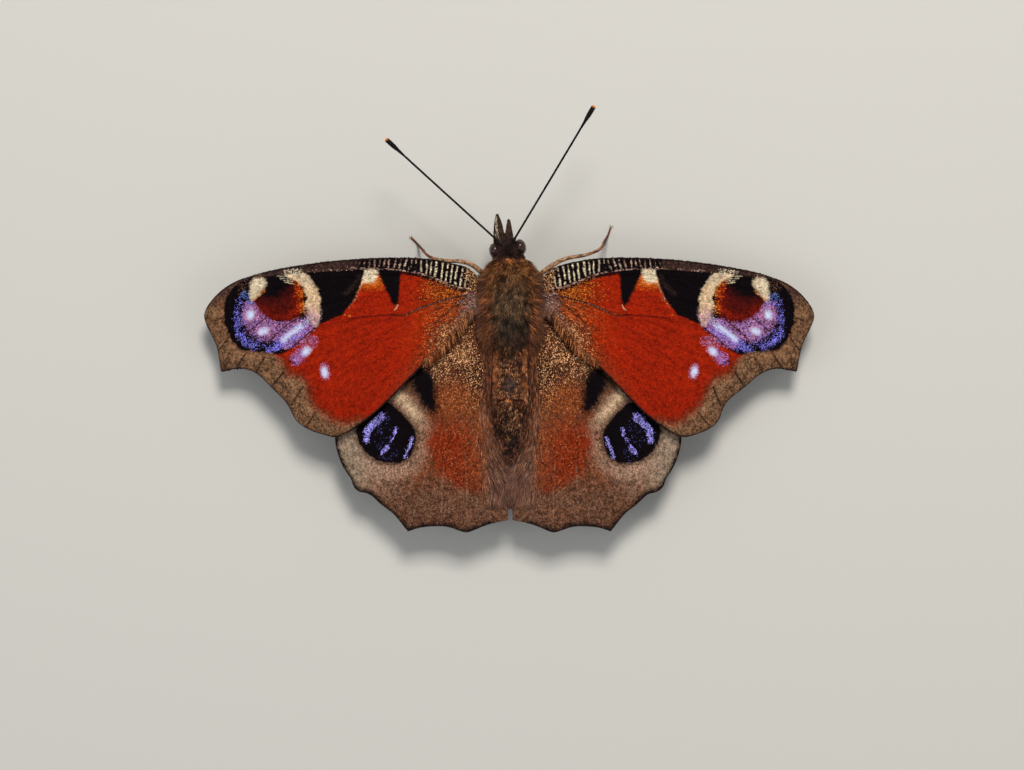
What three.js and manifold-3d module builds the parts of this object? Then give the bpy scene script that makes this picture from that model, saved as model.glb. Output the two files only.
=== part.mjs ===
// A peacock butterfly at life size, in millimetres, +Z up, its head towards +Y and its left side at -X.
// It stands on its four walking legs with the wings spread almost flat, and the origin lies on the
// floor under the middle of the whole insect.

import * as THREE from 'three';
import { mergeVertices } from 'three/addons/utils/BufferGeometryUtils.js';
import Module from 'manifold-3d';

const wasm = await Module();
wasm.setup();

// Sizes that drive the whole insect
const gap = 0.25;                // clearance that neighbouring parts keep
const bodyAxis = 0.04;           // the body's middle plane, to the right of the origin
const roundSides = 22;           // sides of the thorax, abdomen and head
const limbSides = 8;             // sides of legs and antennae

// Wings: one gently crowned sheet for each pair, the hind pair under the fore pair
const wingThickness = 0.5;
const veinRise = 0.14;           // height of a vein over the membrane, on each face
const veinReach = 0.36;          // from the crest of a vein to its foot
const veinStation = 1.5;         // distance between the stations of a vein
const edgeStation = 0.85;        // distance between the points of a wing's edge
const fillStation = 2.4;         // distance between the points of the open membrane
const wingRootX = 3;
const wingRootHeight = 6;
const wingFall = 0.11;           // drop for each millimetre outwards
const wingCrown = 0.6;
const wingSpan = 27.6;
const wingTilt = 0.03;           // drop for each millimetre backwards
const hindWingDrop = 1.12;
const innerDip = 0.5;            // how far the hind wings sink along the body
const innerDipReach = 3.4;
const midlineGap = 0.15;         // each hind wing keeps this far from the middle plane

// Trunk of the body
const thoraxHeight = 4.9;        // height of its long axis
const thoraxFlatness = 0.95;
const thoraxWidths = [           // half width, place along the body
  [1.2, 5.95], [1.75, 5.75], [2.62, 5.05], [2.9, 4.4], [3.05, 3], [3.05, 1.2], [2.8, -0.8], [2.15, -2.6],
];
const abdomenFront = -2.85;
const abdomenTip = -14.4;
const abdomenHalfWidth = 2.05;
const abdomenFlatness = 0.84;
const abdomenHeight = 4.7;
const abdomenDroop = 0.5;
const abdomenSegments = 7;

// Head, turned a little to the left
const headCentre = [-0.22, 6.95, 4.75];
const headHalfWidth = 1.5;
const headHalfLength = 1.18;
const headHalfHeight = 1.4;
const headTurn = THREE.MathUtils.degToRad(8);
const neckFace = 6.2;            // the flat back of the head
const eyeOffset = [1.26, 0.1, 0.12];
const eyeSize = [0.56, 0.8, 0.95];

// Turns a closed three.js geometry into a solid, without collapsed triangles
function solid(geometry) {
  const plain = geometry.clone();
  plain.deleteAttribute('normal');
  plain.deleteAttribute('uv');
  const merged = mergeVertices(plain, 1e-4);
  const corners = [];
  for (let i = 0; i < merged.index.count; i += 3) {
    const [a, b, c] = [0, 1, 2].map((k) => merged.index.getX(i + k));
    if (a !== b && b !== c && c !== a) corners.push(a, b, c);
  }
  const mesh = new wasm.Mesh({
    numProp: 3,
    vertProperties: Float32Array.from(merged.attributes.position.array),
    triVerts: Uint32Array.from(corners),
  });
  mesh.merge();
  return new wasm.Manifold(mesh);
}

// The largest closed surface of a solid, as a three.js geometry
function geometryOf(shape) {
  const largest = shape.decompose().sort((a, b) => b.volume() - a.volume())[0];
  const mesh = largest.getMesh();
  const geometry = new THREE.BufferGeometry();
  geometry.setAttribute('position', new THREE.BufferAttribute(mesh.vertProperties, 3));
  geometry.setIndex(new THREE.BufferAttribute(mesh.triVerts, 1));
  geometry.computeVertexNormals();
  return geometry;
}

// Moves every vertex of a geometry by a function of its place
function reshape(geometry, move) {
  const place = geometry.attributes.position;
  const point = new THREE.Vector3();
  for (let i = 0; i < place.count; i++) {
    point.fromBufferAttribute(place, i);
    move(point);
    place.setXYZ(i, point.x, point.y, point.z);
  }
  return geometry;
}

// A body of revolution about the Y axis from pairs of radius and place, closed on the axis at both ends
function turned(profile, sides = roundSides) {
  const ordered = [...profile].sort((a, b) => a[1] - b[1]);
  const first = ordered[0];
  const last = ordered[ordered.length - 1];
  if (first[0] > 0) ordered.unshift([0, first[1]]);
  if (last[0] > 0) ordered.push([0, last[1]]);
  return new THREE.LatheGeometry(ordered.map(([r, y]) => new THREE.Vector2(r, y)), sides);
}

// Lays a geometry that stands along +Y between two points
function between(geometry, from, to) {
  const start = new THREE.Vector3(...from);
  const along = new THREE.Vector3(...to).sub(start).normalize();
  const turn = new THREE.Quaternion().setFromUnitVectors(new THREE.Vector3(0, 1, 0), along);
  return geometry.applyQuaternion(turn).translate(start.x, start.y, start.z);
}

function distance(a, b) {
  return Math.hypot(...a.map((value, i) => value - b[i]));
}

// A value at a place, read on the straight lines between pairs of value and place
function readProfile(pairs, y) {
  const sorted = [...pairs].sort((a, b) => a[1] - b[1]);
  if (y <= sorted[0][1]) return sorted[0][0];
  for (let i = 1; i < sorted.length; i++) {
    const [before, after] = [sorted[i - 1], sorted[i]];
    if (y <= after[1]) {
      return THREE.MathUtils.mapLinear(y, before[1], after[1], before[0], after[0]);
    }
  }
  return sorted[sorted.length - 1][0];
}

// Points at even steps along smooth curves laid end to end, each curve given by the points it passes
function along(stretches, step) {
  const path = [];
  for (const stretch of stretches) {
    const curve = new THREE.CatmullRomCurve3(
      stretch.map(([x, y]) => new THREE.Vector3(x, y, 0)), false, 'centripetal');
    const count = Math.max(1, Math.round(curve.getLength() / step));
    const stations = curve.getSpacedPoints(count).map((p) => [p.x, p.y]);
    path.push(...(path.length ? stations.slice(1) : stations));
  }
  return path;
}

// Half width of the thorax at a place along the body and a height
function thoraxSide(y, height) {
  const half = readProfile(thoraxWidths, y);
  const rise = (height - thoraxHeight) / (half * thoraxFlatness);
  return half * Math.sqrt(Math.max(0, 1 - rise * rise));
}

// Half width of the abdomen: full from near its root, then drawn in to a blunt tip
function abdomenSide(y) {
  const t = THREE.MathUtils.clamp((y - abdomenFront) / (abdomenTip - abdomenFront), 0, 1);
  return abdomenHalfWidth * Math.pow(Math.max(0, 1 - Math.pow(t, 3.2)), 0.62) * (0.9 + 0.1 * Math.sin(Math.PI * t));
}

// Height of the middle of the fore wing sheet
function foreWingHeight(x, y) {
  const out = x - wingRootX;
  const crown = wingCrown * Math.sin(Math.PI * THREE.MathUtils.clamp(out / wingSpan, 0, 1));
  return wingRootHeight - wingFall * Math.max(out, 0) + crown + wingTilt * (y - 3);
}

function hindWingHeight(x, y) {
  const inner = Math.max(0, 1 - x / innerDipReach);
  return foreWingHeight(x, y) - hindWingDrop - innerDip * inner * inner;
}

// The fore wing's edge, outwards along the front, round the hooked tip and back along the scalloped
// outer margin. x counts from the body's middle plane.
const foreWingFront = [
  [3.7, 4.87], [5.8, 5.6], [9, 6.1], [15, 6.07], [20, 5.6], [25.1, 4.68], [28.1, 3.58], [29.8, 2.2],
  [30.8, 0.5], [30.3, -0.9], [29.5, -2.55], [29.2, -3.9], [29.05, -5.2],
];
const foreWingOuter = [
  [29.05, -5.2], [27.8, -4.93], [26.6, -4.85], [25.35, -5.35], [23.95, -6.7], [22.3, -8.4],
  [21.4, -10.1], [20.1, -10.97], [18.4, -11.52], [17.5, -11.75],
];
const foreWingRear = [
  [17.5, -11.75], [16, -11.1], [13.65, -9.4], [11.5, -7.4], [8.75, -4.6], [7, -3.1], [5.5, -1.4], [4.3, 0.3],
];
const foreWingRootFront = 4.65;
const foreWingRootRear = 1.3;

const foreWingVeins = [
  [[3.4, 3.7], [8, 5.1], [13, 5.5], [17.6, 5.65]],
  [[3.4, 3.4], [6, 4.2], [10, 4.55], [15, 4.55], [21, 3.9], [26, 2.6], [30, 0.9]],
  [[10, 4.55], [15, 5.15], [20.5, 5.25]],
  [[19, 4.2], [23.5, 4.2], [26.6, 3.85]],
  [[15, 4.55], [20, 2.5], [24.3, 0.4], [28, -1.5], [28.9, -2.7]],
  [[15, 4.55], [14.8, 3], [19, 1.5], [23.8, -1.7], [26.3, -3.3], [27.3, -4.5]],
  [[3.4, 2.7], [5.1, 2.1], [9, 1.1], [12.6, 0.5], [15, 0.27], [19.3, -0.7], [22.2, -2.8], [25.6, -4.9]],
  [[12.6, 0.5], [16.5, -1.3], [20, -3.6], [23.5, -6.3]],
  [[9, 1.1], [12, -1], [16, -3.9], [21.5, -8.5]],
  [[3.6, 2], [8, -1.4], [12.5, -5.9], [17.4, -11.2]],
];

// The hind wing's edge: the front part lies under the fore wing
const hindWingFront = [
  [4.6, 1.7], [8.5, 1], [12, -1.6], [15.3, -5.6], [17.2, -9.6], [17.55, -12], [16.8, -14.6], [15.9, -15.9],
];
const hindWingOuter = [
  [15.9, -15.9], [15.75, -16.6], [15.35, -17.15], [14.15, -17.33], [13, -18.4], [11.75, -19.3], [10.25, -21.15],
];
const hindWingRear = [
  [10.25, -21.15], [9.15, -20.75], [8, -20.62], [6.3, -20.63], [5.1, -21.05], [4.35, -21.28],
  [3.3, -20.83], [1.9, -20.32], [0.8, -20.16],
];
const hindWingRootFront = 1.2;
const hindWingRootRear = -2.4;
const hindWingInnerRear = -20.05;

const hindWingVeins = [
  [[3.4, 0.5], [7, 0.3], [12, -3.2], [15.6, -8.2], [16.9, -13]],
  [[3.4, 0.2], [6.5, -1.2], [9, -3.6], [12.3, -8.4], [15.4, -14.9]],
  [[9, -3.6], [10.5, -7.6], [13, -13], [14.6, -16.8]],
  [[6.5, -1.2], [7.6, -5.5], [10.3, -12], [12.4, -18.2]],
  [[3.4, -0.4], [5, -3.2], [6.4, -8.2], [8, -14], [10, -20.6]],
  [[6.4, -8.2], [6.6, -13], [6.9, -20.2]],
  [[5, -3.2], [4.9, -9], [4.4, -15], [4.3, -20.8]],
  [[3.3, -1.4], [3.5, -7], [2.7, -13.5], [2, -19.8]],
];

// Shortest distance from a plan point to a chain of plan points
function distanceToChain(point, chain) {
  let best = Infinity;
  for (let i = 1; i < chain.length; i++) {
    const [ax, ay] = chain[i - 1];
    const [dx, dy] = [chain[i][0] - ax, chain[i][1] - ay];
    const t = THREE.MathUtils.clamp(
      ((point[0] - ax) * dx + (point[1] - ay) * dy) / (dx * dx + dy * dy), 0, 1);
    best = Math.min(best, Math.hypot(point[0] - ax - t * dx, point[1] - ay - t * dy));
  }
  return best;
}

function inside([x, y], loop) {
  let within = false;
  for (let i = 0, j = loop.length - 1; i < loop.length; j = i++) {
    const [[xi, yi], [xj, yj]] = [loop[i], loop[j]];
    if (yi > y !== yj > y && x < ((xj - xi) * (y - yi)) / (yj - yi) + xi) within = !within;
  }
  return within;
}

// Joins plan points into triangles so that no circle round a triangle holds another point
function triangulate(points) {
  const far = 400;
  const all = [...points, [-far, -far], [far, -far], [0, far]];
  const corner = points.length;
  const circled = (a, b, c) => {
    const [[ax, ay], [bx, by], [cx, cy]] = [all[a], all[b], all[c]];
    const twice = 2 * (ax * (by - cy) + bx * (cy - ay) + cx * (ay - by));
    const [aa, bb, cc] = [ax * ax + ay * ay, bx * bx + by * by, cx * cx + cy * cy];
    const x = (aa * (by - cy) + bb * (cy - ay) + cc * (ay - by)) / twice;
    const y = (aa * (cx - bx) + bb * (ax - cx) + cc * (bx - ax)) / twice;
    return { a, b, c, x, y, reach: (ax - x) ** 2 + (ay - y) ** 2 };
  };
  let faces = [circled(corner, corner + 1, corner + 2)];
  points.forEach(([x, y], index) => {
    const rim = new Map();
    const kept = [];
    for (const face of faces) {
      if ((x - face.x) ** 2 + (y - face.y) ** 2 > face.reach) {
        kept.push(face);
        continue;
      }
      for (const [from, to] of [[face.a, face.b], [face.b, face.c], [face.c, face.a]]) {
        if (!rim.delete(`${to} ${from}`)) rim.set(`${from} ${to}`, [from, to]);
      }
    }
    for (const [from, to] of rim.values()) kept.push(circled(from, to, index));
    faces = kept;
  });
  return faces.filter(({ a, b, c }) => a < corner && b < corner && c < corner).map(({ a, b, c }) => [a, b, c]);
}

// A wing of even thickness between two alike faces, with its veins raised in both
function wing(edgeLoop, veins, heightAt) {
  const chains = veins.map((vein) => along([vein], veinStation));
  const points = edgeLoop.slice();
  const rim = points.length;
  const offer = (point, clearance) => {
    if (!inside(point, edgeLoop)) return;
    if (points.some((other, i) => distance(point, other) < (i < rim ? 0.52 * edgeStation : clearance))) return;
    points.push(point);
  };
  chains.forEach((chain) => chain.forEach((station) => offer(station, 0.3)));
  for (const chain of chains) {
    chain.forEach((station, i) => {
      const [before, after] = [chain[Math.max(i - 1, 0)], chain[Math.min(i + 1, chain.length - 1)]];
      const length = distance(before, after);
      const across = [(before[1] - after[1]) / length, (after[0] - before[0]) / length];
      for (const hand of [-1, 1]) {
        offer([station[0] + hand * veinReach * across[0], station[1] + hand * veinReach * across[1]], 0.3);
      }
    });
  }
  for (let row = 0, y = -22; y < 7; row++, y += fillStation * 0.87) {
    for (let x = row % 2 ? 0 : fillStation / 2; x < 31; x += fillStation) offer([x, y], 0.45 * fillStation);
  }
  const faces = triangulate(points).filter((face) => {
    const middle = [0, 1].map((k) => face.reduce((sum, index) => sum + points[index][k], 0) / 3);
    return inside(middle, edgeLoop);
  });
  const position = [];
  for (const face of [1, -1]) {
    for (const point of points) {
      const nearest = Math.min(...chains.map((chain) => distanceToChain(point, chain)));
      const rise = veinRise * Math.max(0, 1 - nearest / veinReach);
      position.push(point[0], point[1], heightAt(...point) + face * (wingThickness / 2 + rise));
    }
  }
  const corners = [];
  const under = points.length;
  for (const [a, b, c] of faces) corners.push(a, b, c, under + a, under + c, under + b);
  for (let i = 0; i < rim; i++) {
    const next = (i + 1) % rim;
    corners.push(i, under + i, next, next, under + i, under + next);
  }
  const geometry = new THREE.BufferGeometry();
  geometry.setAttribute('position', new THREE.Float32BufferAttribute(position, 3));
  geometry.setIndex(corners);
  return geometry;
}

// Puts a wing built on the +X side on its own side: mirrored for the left
function onSide(geometry, side) {
  if (side < 0) {
    geometry.scale(-1, 1, 1);
    const index = geometry.index;
    for (let i = 0; i < index.count; i += 3) {
      const second = index.getX(i + 1);
      index.setX(i + 1, index.getX(i + 2));
      index.setX(i + 2, second);
    }
  }
  return geometry.translate(bodyAxis, 0, 0);
}

// The right wings are a trifle narrower than the left ones
const rightForeWingReach = 0.991;
const rightForeWingPinch = 0.7;  // how much less full its outer margin is
const rightHindWingReach = 0.97;

function foreWing(side) {
  const isRight = side > 0;
  const shaped = ([x, y]) => {
    if (!isRight) return [x, y];
    const middle = Math.exp(-(((y + 8.6) / 2.2) ** 2)) * THREE.MathUtils.smoothstep(x, 12, 20);
    return [wingRootX + (x - wingRootX) * rightForeWingReach - rightForeWingPinch * middle, y];
  };
  const height = foreWingHeight(wingRootX, 3) - wingThickness / 2;
  const root = [];
  for (let y = foreWingRootRear; y <= foreWingRootFront; y += (foreWingRootFront - foreWingRootRear) / 4) {
    root.push([thoraxSide(y, height) + gap, y]);
  }
  const rootFront = root[root.length - 1];
  const edge = along([
    [rootFront, ...foreWingFront], foreWingOuter, [...foreWingRear, root[0]], root,
  ].map((stretch) => stretch.map(shaped)), edgeStation).slice(0, -1);
  const veins = foreWingVeins.map((vein) => vein.map(shaped));
  return onSide(wing(edge.reverse(), veins, foreWingHeight), side);
}

function hindWing(side) {
  const reach = side > 0 ? rightHindWingReach : 1;
  const shaped = ([x, y]) => [x > wingRootX ? wingRootX + (x - wingRootX) * reach : x, y];
  const root = [];
  for (let y = hindWingRootFront; y > hindWingRootRear; y -= 0.9) {
    root.push([thoraxSide(y, thoraxHeight) + gap, y]);
  }
  for (let y = hindWingRootRear; y > hindWingInnerRear; y -= 0.9) {
    root.push([Math.max(abdomenSide(y) + gap, midlineGap), y]);
  }
  root.push([midlineGap + 0.08, hindWingInnerRear]);
  const edge = along([
    [root[0], ...hindWingFront], hindWingOuter, [...hindWingRear, root[root.length - 1]], root.slice().reverse(),
  ].map((stretch) => stretch.map(shaped)), edgeStation).slice(0, -1);
  const veins = hindWingVeins.map((vein) => vein.map(shaped));
  return onSide(wing(edge.reverse(), veins, hindWingHeight), side);
}

// The thorax, with the collar behind the head, the shoulder plates over the wing roots and the
// groove before the hindmost shield. "Swell" makes it larger all round for cutting its neighbours.
const collarPlace = 5.05;
const shieldPlace = -0.6;
const shoulderPlace = 3.4;

function thoraxShape(swell = 0) {
  const profile = [[thoraxWidths[0][0], thoraxWidths[0][1] + swell]];
  for (let y = 5.75; y > -2.6; y -= 0.55) profile.push([readProfile(thoraxWidths, y) + swell, y]);
  profile.push([thoraxWidths[thoraxWidths.length - 1][0] + swell, -2.6 - swell]);
  const geometry = reshape(turned(profile), (p) => {
    const up = Math.max(0, p.z) / (Math.hypot(p.x, p.z) + 1e-6);
    const sideways = Math.abs(p.x) / (Math.hypot(p.x, p.z) + 1e-6);
    const groove = Math.exp(-(((p.y - collarPlace) / 0.3) ** 2)) + Math.exp(-(((p.y - shieldPlace) / 0.35) ** 2));
    const shoulder = Math.exp(-(((p.y - shoulderPlace) / 1.2) ** 2)) * up * sideways;
    const scale = 1 - 0.06 * groove * up + 0.1 * shoulder;
    p.x *= scale;
    p.z *= scale;
  });
  geometry.scale(1, 1, thoraxFlatness);
  return solid(geometry.translate(bodyAxis, 0, thoraxHeight));
}

// The abdomen: seven rings that overlap backwards, drooping slightly to its tip
function abdomenShape() {
  const profile = [[abdomenSide(abdomenFront) * 0.86, abdomenFront]];
  const ring = (abdomenTip - abdomenFront) / abdomenSegments;
  for (let k = 0; k < abdomenSegments; k++) {
    for (const [share, size] of [[0.12, 0.965], [0.5, 0.99], [0.88, 1]]) {
      const y = abdomenFront + ring * (k + share);
      profile.push([abdomenSide(y) * size, y]);
    }
  }
  profile.push([0.12, abdomenTip]);
  const geometry = turned(profile).scale(1, 1, abdomenFlatness);
  reshape(geometry, (p) => {
    const t = (p.y - abdomenFront) / (abdomenTip - abdomenFront);
    p.z -= abdomenDroop * t * t;
  });
  return solid(geometry.translate(bodyAxis, 0, abdomenHeight));
}

function headFrame(geometry) {
  return geometry.rotateZ(headTurn).translate(...headCentre);
}

// The head before its eyes are let in
function headShape(swell = 0) {
  const profile = [];
  for (let k = 0; k <= 12; k++) {
    const angle = (Math.PI * k) / 12;
    const radius = Math.pow(Math.sin(angle), 0.85);
    profile.push([k % 12 ? radius : 0, -Math.cos(angle)]);
  }
  const geometry = turned(profile);
  geometry.scale(headHalfWidth + swell, headHalfLength + swell, headHalfHeight + swell);
  return solid(headFrame(geometry));
}

function eyeShape(side, swell = 0) {
  const geometry = new THREE.SphereGeometry(1, 18, 12);
  geometry.scale(...eyeSize.map((size) => size + swell));
  geometry.translate(side * eyeOffset[0], eyeOffset[1], eyeOffset[2]);
  return solid(headFrame(geometry));
}

function head() {
  const behindNeck = new THREE.BoxGeometry(8, 4, 8).translate(0, neckFace - 2, headCentre[2]);
  return headShape()
    .subtract(eyeShape(-1, gap))
    .subtract(eyeShape(1, gap))
    .subtract(solid(behindNeck));
}

// A palp: a flattened, bristly cone that points forwards and a little up
const palps = {
  left: { from: [-1.2, 7.2, 4.15], to: [-1.37, 10.65, 5.15] },
  right: { from: [-0.03, 7.2, 4.15], to: [-0.13, 10.12, 5.05] },
};
const palpHalfWidth = 0.5;

function palp({ from, to }) {
  const length = distance(from, to);
  const profile = [[0.36, 0], [0.46, 0.2], [0.5, 0.38], [0.46, 0.55], [0.36, 0.72], [0.22, 0.88], [0.06, 1]];
  const geometry = turned(profile.map(([r, y]) => [r * 2 * palpHalfWidth, y * length]), 12);
  return solid(between(geometry, from, to)).subtract(headShape(gap));
}

// An antenna: a thin shaft that thickens near its end into a blunt club
const antennae = {
  left: { from: [-0.8, 7.45, 5.95], to: [-12.27, 17.78, 8.0] },
  right: { from: [0.36, 7.85, 5.95], to: [8.31, 21.02, 8.2] },
};
const shaftRadius = 0.25;
const clubRadius = 0.4;
const clubLength = 2.6;
const antennaSag = 0.35;

function antenna({ from, to }) {
  const length = distance(from, to);
  const profile = [[shaftRadius * 1.5, 0], [shaftRadius * 1.4, 0.35], [shaftRadius, 0.6]];
  for (let y = 2; y < length - clubLength - 0.4; y += 1.6) profile.push([shaftRadius, y]);
  for (const [share, size] of [[0, 0.66], [0.3, 0.85], [0.6, 1], [0.85, 0.95], [0.96, 0.7], [1, 0.3]]) {
    profile.push([clubRadius * size, length - clubLength * (1 - share)]);
  }
  const geometry = reshape(turned(profile, limbSides), (p) => {
    p.z -= antennaSag * Math.sin((Math.PI * p.y) / length);
  });
  return solid(between(geometry, from, to)).subtract(headShape(gap));
}

// A tapering tube along a smooth path through a route: a hair-thin tube whose rings are then swelled
function taperedTube(route, radii, steps, sides = limbSides) {
  const hairRadius = 0.05;
  const path = new THREE.CatmullRomCurve3(route.map((p) => new THREE.Vector3(...p)), false, 'centripetal');
  const section = new THREE.Shape().absarc(0, 0, hairRadius, 0, 2 * Math.PI);
  const tube = new THREE.ExtrudeGeometry(section, {
    steps, curveSegments: sides, bevelEnabled: false, extrudePath: path,
  });
  const centres = path.getSpacedPoints(steps);
  const taper = radii.map((radius, k) => [radius, k / (radii.length - 1)]);
  return reshape(tube, (p) => {
    const offsets = centres.map((centre) => centre.distanceTo(p));
    const nearest = offsets.indexOf(Math.min(...offsets));
    const swell = readProfile(taper, nearest / steps) / hairRadius;
    p.sub(centres[nearest]).multiplyScalar(swell).add(centres[nearest]);
  });
}

// The coiled tongue under the head
const coilCentre = [-0.55, 7.85, 3.05];
const coilRadius = 0.74;
const coilPitch = 0.55;          // distance between the turns
const coilThickness = 0.5;

function proboscis() {
  const turns = 1.4;
  const steps = 18;
  const spiral = [];
  for (let k = 0; k <= steps; k++) {
    const angle = Math.PI / 2 - (2 * Math.PI * turns * k) / steps;
    const radius = coilRadius - (coilPitch * turns * k) / steps;
    spiral.push([0, radius * Math.cos(angle), radius * Math.sin(angle)]);
  }
  const tube = taperedTube(spiral, [coilThickness / 2, coilThickness / 2], steps);
  return solid(tube.translate(...coilCentre)).subtract(headShape(gap));
}

// A leg tapers from the body to the floor. Its foot lies along the floor and is cut flat where it rests.
const legSteps = 16;

const legs = {
  foreleg: {
    left: [[-0.85, 4.3, 3], [-1.45, 6, 2.15], [-1.15, 7.3, 2.05]],
    right: [[0.85, 4.3, 3], [1.35, 6.1, 2.15], [0.75, 7.3, 2.05]],
    radii: [0.42, 0.34, 0.25],
  },
  midleg: {
    left: [
      [-1.6, 3.6, 3.2], [-4, 5.6, 4.3], [-6.8, 5.95, 4.5], [-8.15, 6.4, 4.2], [-8.95, 7.3, 1.7],
      [-9.35, 7.75, 0.2], [-9.95, 8.4, 0.2],
    ],
    right: [
      [1.7, 3.6, 3.2], [4.9, 5.85, 4.3], [7.6, 6.5, 4.5], [9, 7.1, 4.2], [9.6, 8.1, 1.7],
      [9.9, 8.6, 0.2], [10.2, 9.45, 0.2],
    ],
    radii: [0.5, 0.4, 0.36, 0.34, 0.27, 0.26, 0.25],
  },
  hindleg: {
    left: [
      [-1.2, -0.3, 3], [-3.6, -2.2, 2.7], [-6, -4.1, 2.9], [-7.3, -7.2, 1.9], [-8, -9.6, 0.75],
      [-8.35, -11.2, 0.2], [-8.6, -12.5, 0.2],
    ],
    right: [
      [1.3, -0.3, 3], [3.7, -2.2, 2.7], [6.1, -4, 2.9], [7.5, -7, 1.9], [8.3, -9.4, 0.75],
      [8.7, -11, 0.2], [9, -12.3, 0.2],
    ],
    radii: [0.5, 0.42, 0.36, 0.3, 0.27, 0.26, 0.25],
  },
};

function leg(kind, side) {
  const { [side]: route, radii } = legs[kind];
  const below = new THREE.BoxGeometry(60, 60, 4).translate(0, 0, -2);
  return solid(taperedTube(route, radii, legSteps))
    .subtract(thoraxShape(gap))
    .subtract(solid(below));
}

// Colours of the parts
const furBrown = 0x5c3e22;
const headBrown = 0x32201c;
const eyeBlack = 0x120d0c;
const antennaBlack = 0x141010;
const legTan = 0xb48e5e;
const wingRed = 0xa0200a;
const wingBrown = 0x6b402c;

const butterfly = new THREE.Group();

function add(name, geometry, color, roughness = 0.8) {
  const mesh = new THREE.Mesh(geometry, new THREE.MeshStandardMaterial({ color, roughness, metalness: 0 }));
  mesh.name = name;
  butterfly.add(mesh);
}

add('thorax', geometryOf(thoraxShape()), furBrown);
add('abdomen', geometryOf(abdomenShape()), furBrown);
add('head', geometryOf(head()), headBrown);
add('proboscis', geometryOf(proboscis()), antennaBlack, 0.4);
for (const [name, side] of [['left', -1], ['right', 1]]) {
  add(`eye_${name}`, geometryOf(eyeShape(side)), eyeBlack, 0.15);
  add(`palp_${name}`, geometryOf(palp(palps[name])), headBrown);
  add(`antenna_${name}`, geometryOf(antenna(antennae[name])), antennaBlack, 0.5);
  for (const kind of Object.keys(legs)) add(`${kind}_${name}`, geometryOf(leg(kind, name)), legTan, 0.6);
  add(`forewing_${name}`, geometryOf(solid(foreWing(side))), wingRed);
  add(`hindwing_${name}`, geometryOf(solid(hindWing(side))), wingBrown);
}

export default butterfly;
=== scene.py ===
from collections import namedtuple
import math

import bmesh
import bpy
import numpy as np
from mathutils import Matrix, Vector


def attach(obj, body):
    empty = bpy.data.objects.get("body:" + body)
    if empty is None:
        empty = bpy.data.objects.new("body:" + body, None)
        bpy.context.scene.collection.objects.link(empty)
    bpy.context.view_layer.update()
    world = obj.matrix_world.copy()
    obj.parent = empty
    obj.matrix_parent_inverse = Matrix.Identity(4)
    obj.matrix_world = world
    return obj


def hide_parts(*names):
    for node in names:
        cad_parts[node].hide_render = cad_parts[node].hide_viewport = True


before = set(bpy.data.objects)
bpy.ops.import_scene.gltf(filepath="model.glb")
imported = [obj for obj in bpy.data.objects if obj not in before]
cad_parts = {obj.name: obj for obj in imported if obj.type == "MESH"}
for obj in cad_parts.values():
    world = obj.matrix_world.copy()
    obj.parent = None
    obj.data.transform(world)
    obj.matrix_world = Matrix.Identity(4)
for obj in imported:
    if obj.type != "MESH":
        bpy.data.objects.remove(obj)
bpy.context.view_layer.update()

# Floor, lights and camera
# The insect stands on a plain pale floor. The camera looks straight down on it, with the head at the
# top of the picture, and the soft main light comes from beyond the head, as daylight did.
MM = 0.001                # sizes are in mm, places in Blender in m
FLOOR_HUE = (0.56, 0.54, 0.5, 1)
FLOOR_HALF = 1.5          # m
WING_LEVEL = 4.0          # over the floor
VIEW_CENTRE = (0.2, -6.5)
VIEW_WIDTH = 102.4        # across the picture, at wing level
SENSOR = 36.0
LENS = 100.0
LAMP_AIM = Vector((0, -0.005, 0))
LAMPS = (                 # name, place and width in m, power in W, hue
    ("main_light", (0.05, 0.32, 0.42), 0.16, 2.6, (1, 0.97, 0.92)),
    ("left_light", (-0.45, -0.1, 0.35), 0.4, 0.85, (0.92, 0.96, 1)),
    ("right_light", (0.45, -0.2, 0.3), 0.4, 0.65, (1, 1, 1)),
)
SKY_HUE = (0.8, 0.85, 0.9, 1)
SKY_POWER = 0.3

scene = bpy.context.scene
scene.view_settings.view_transform = "Standard"


def linear(hue):
    """A colour given as 0 to 255 screen values, as the linear values that shaders use."""
    share = np.asarray(hue, float) / 255
    return np.where(share <= 0.04045, share / 12.92, ((share + 0.055) / 1.055) ** 2.4)


def finish_of(name, roughness, specular=0.3):
    """A new material, its node tree and its Principled shader."""
    material = bpy.data.materials.new(name)
    material.use_nodes = True
    shader = material.node_tree.nodes["Principled BSDF"]
    shader.inputs["Roughness"].default_value = roughness
    shader.inputs["Specular IOR Level"].default_value = specular
    return material, material.node_tree, shader


def object_from(name, bm, material, smooth=True):
    """A finished bmesh as an object with one material."""
    mesh = bpy.data.meshes.new(name)
    bm.to_mesh(mesh)
    bm.free()
    mesh.polygons.foreach_set("use_smooth", [smooth] * len(mesh.polygons))
    mesh.materials.append(material)
    obj = bpy.data.objects.new(name, mesh)
    scene.collection.objects.link(obj)
    return obj


floor_material, _, floor_shader = finish_of("pale_floor", 0.75)
floor_shader.inputs["Base Color"].default_value = FLOOR_HUE
floor_mesh = bmesh.new()
bmesh.ops.create_grid(floor_mesh, x_segments=2, y_segments=2, size=FLOOR_HALF)
floor = object_from("floor", floor_mesh, floor_material)

camera_data = bpy.data.cameras.new("camera")
camera_data.lens = LENS
camera_data.sensor_width = SENSOR
camera = bpy.data.objects.new("camera", camera_data)
camera_rise = VIEW_WIDTH * LENS / SENSOR + WING_LEVEL
camera.location = (VIEW_CENTRE[0] * MM, VIEW_CENTRE[1] * MM, camera_rise * MM)
scene.collection.objects.link(camera)
scene.camera = camera
camera_data.clip_start = 0.01
camera_data.clip_end = 10

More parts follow.
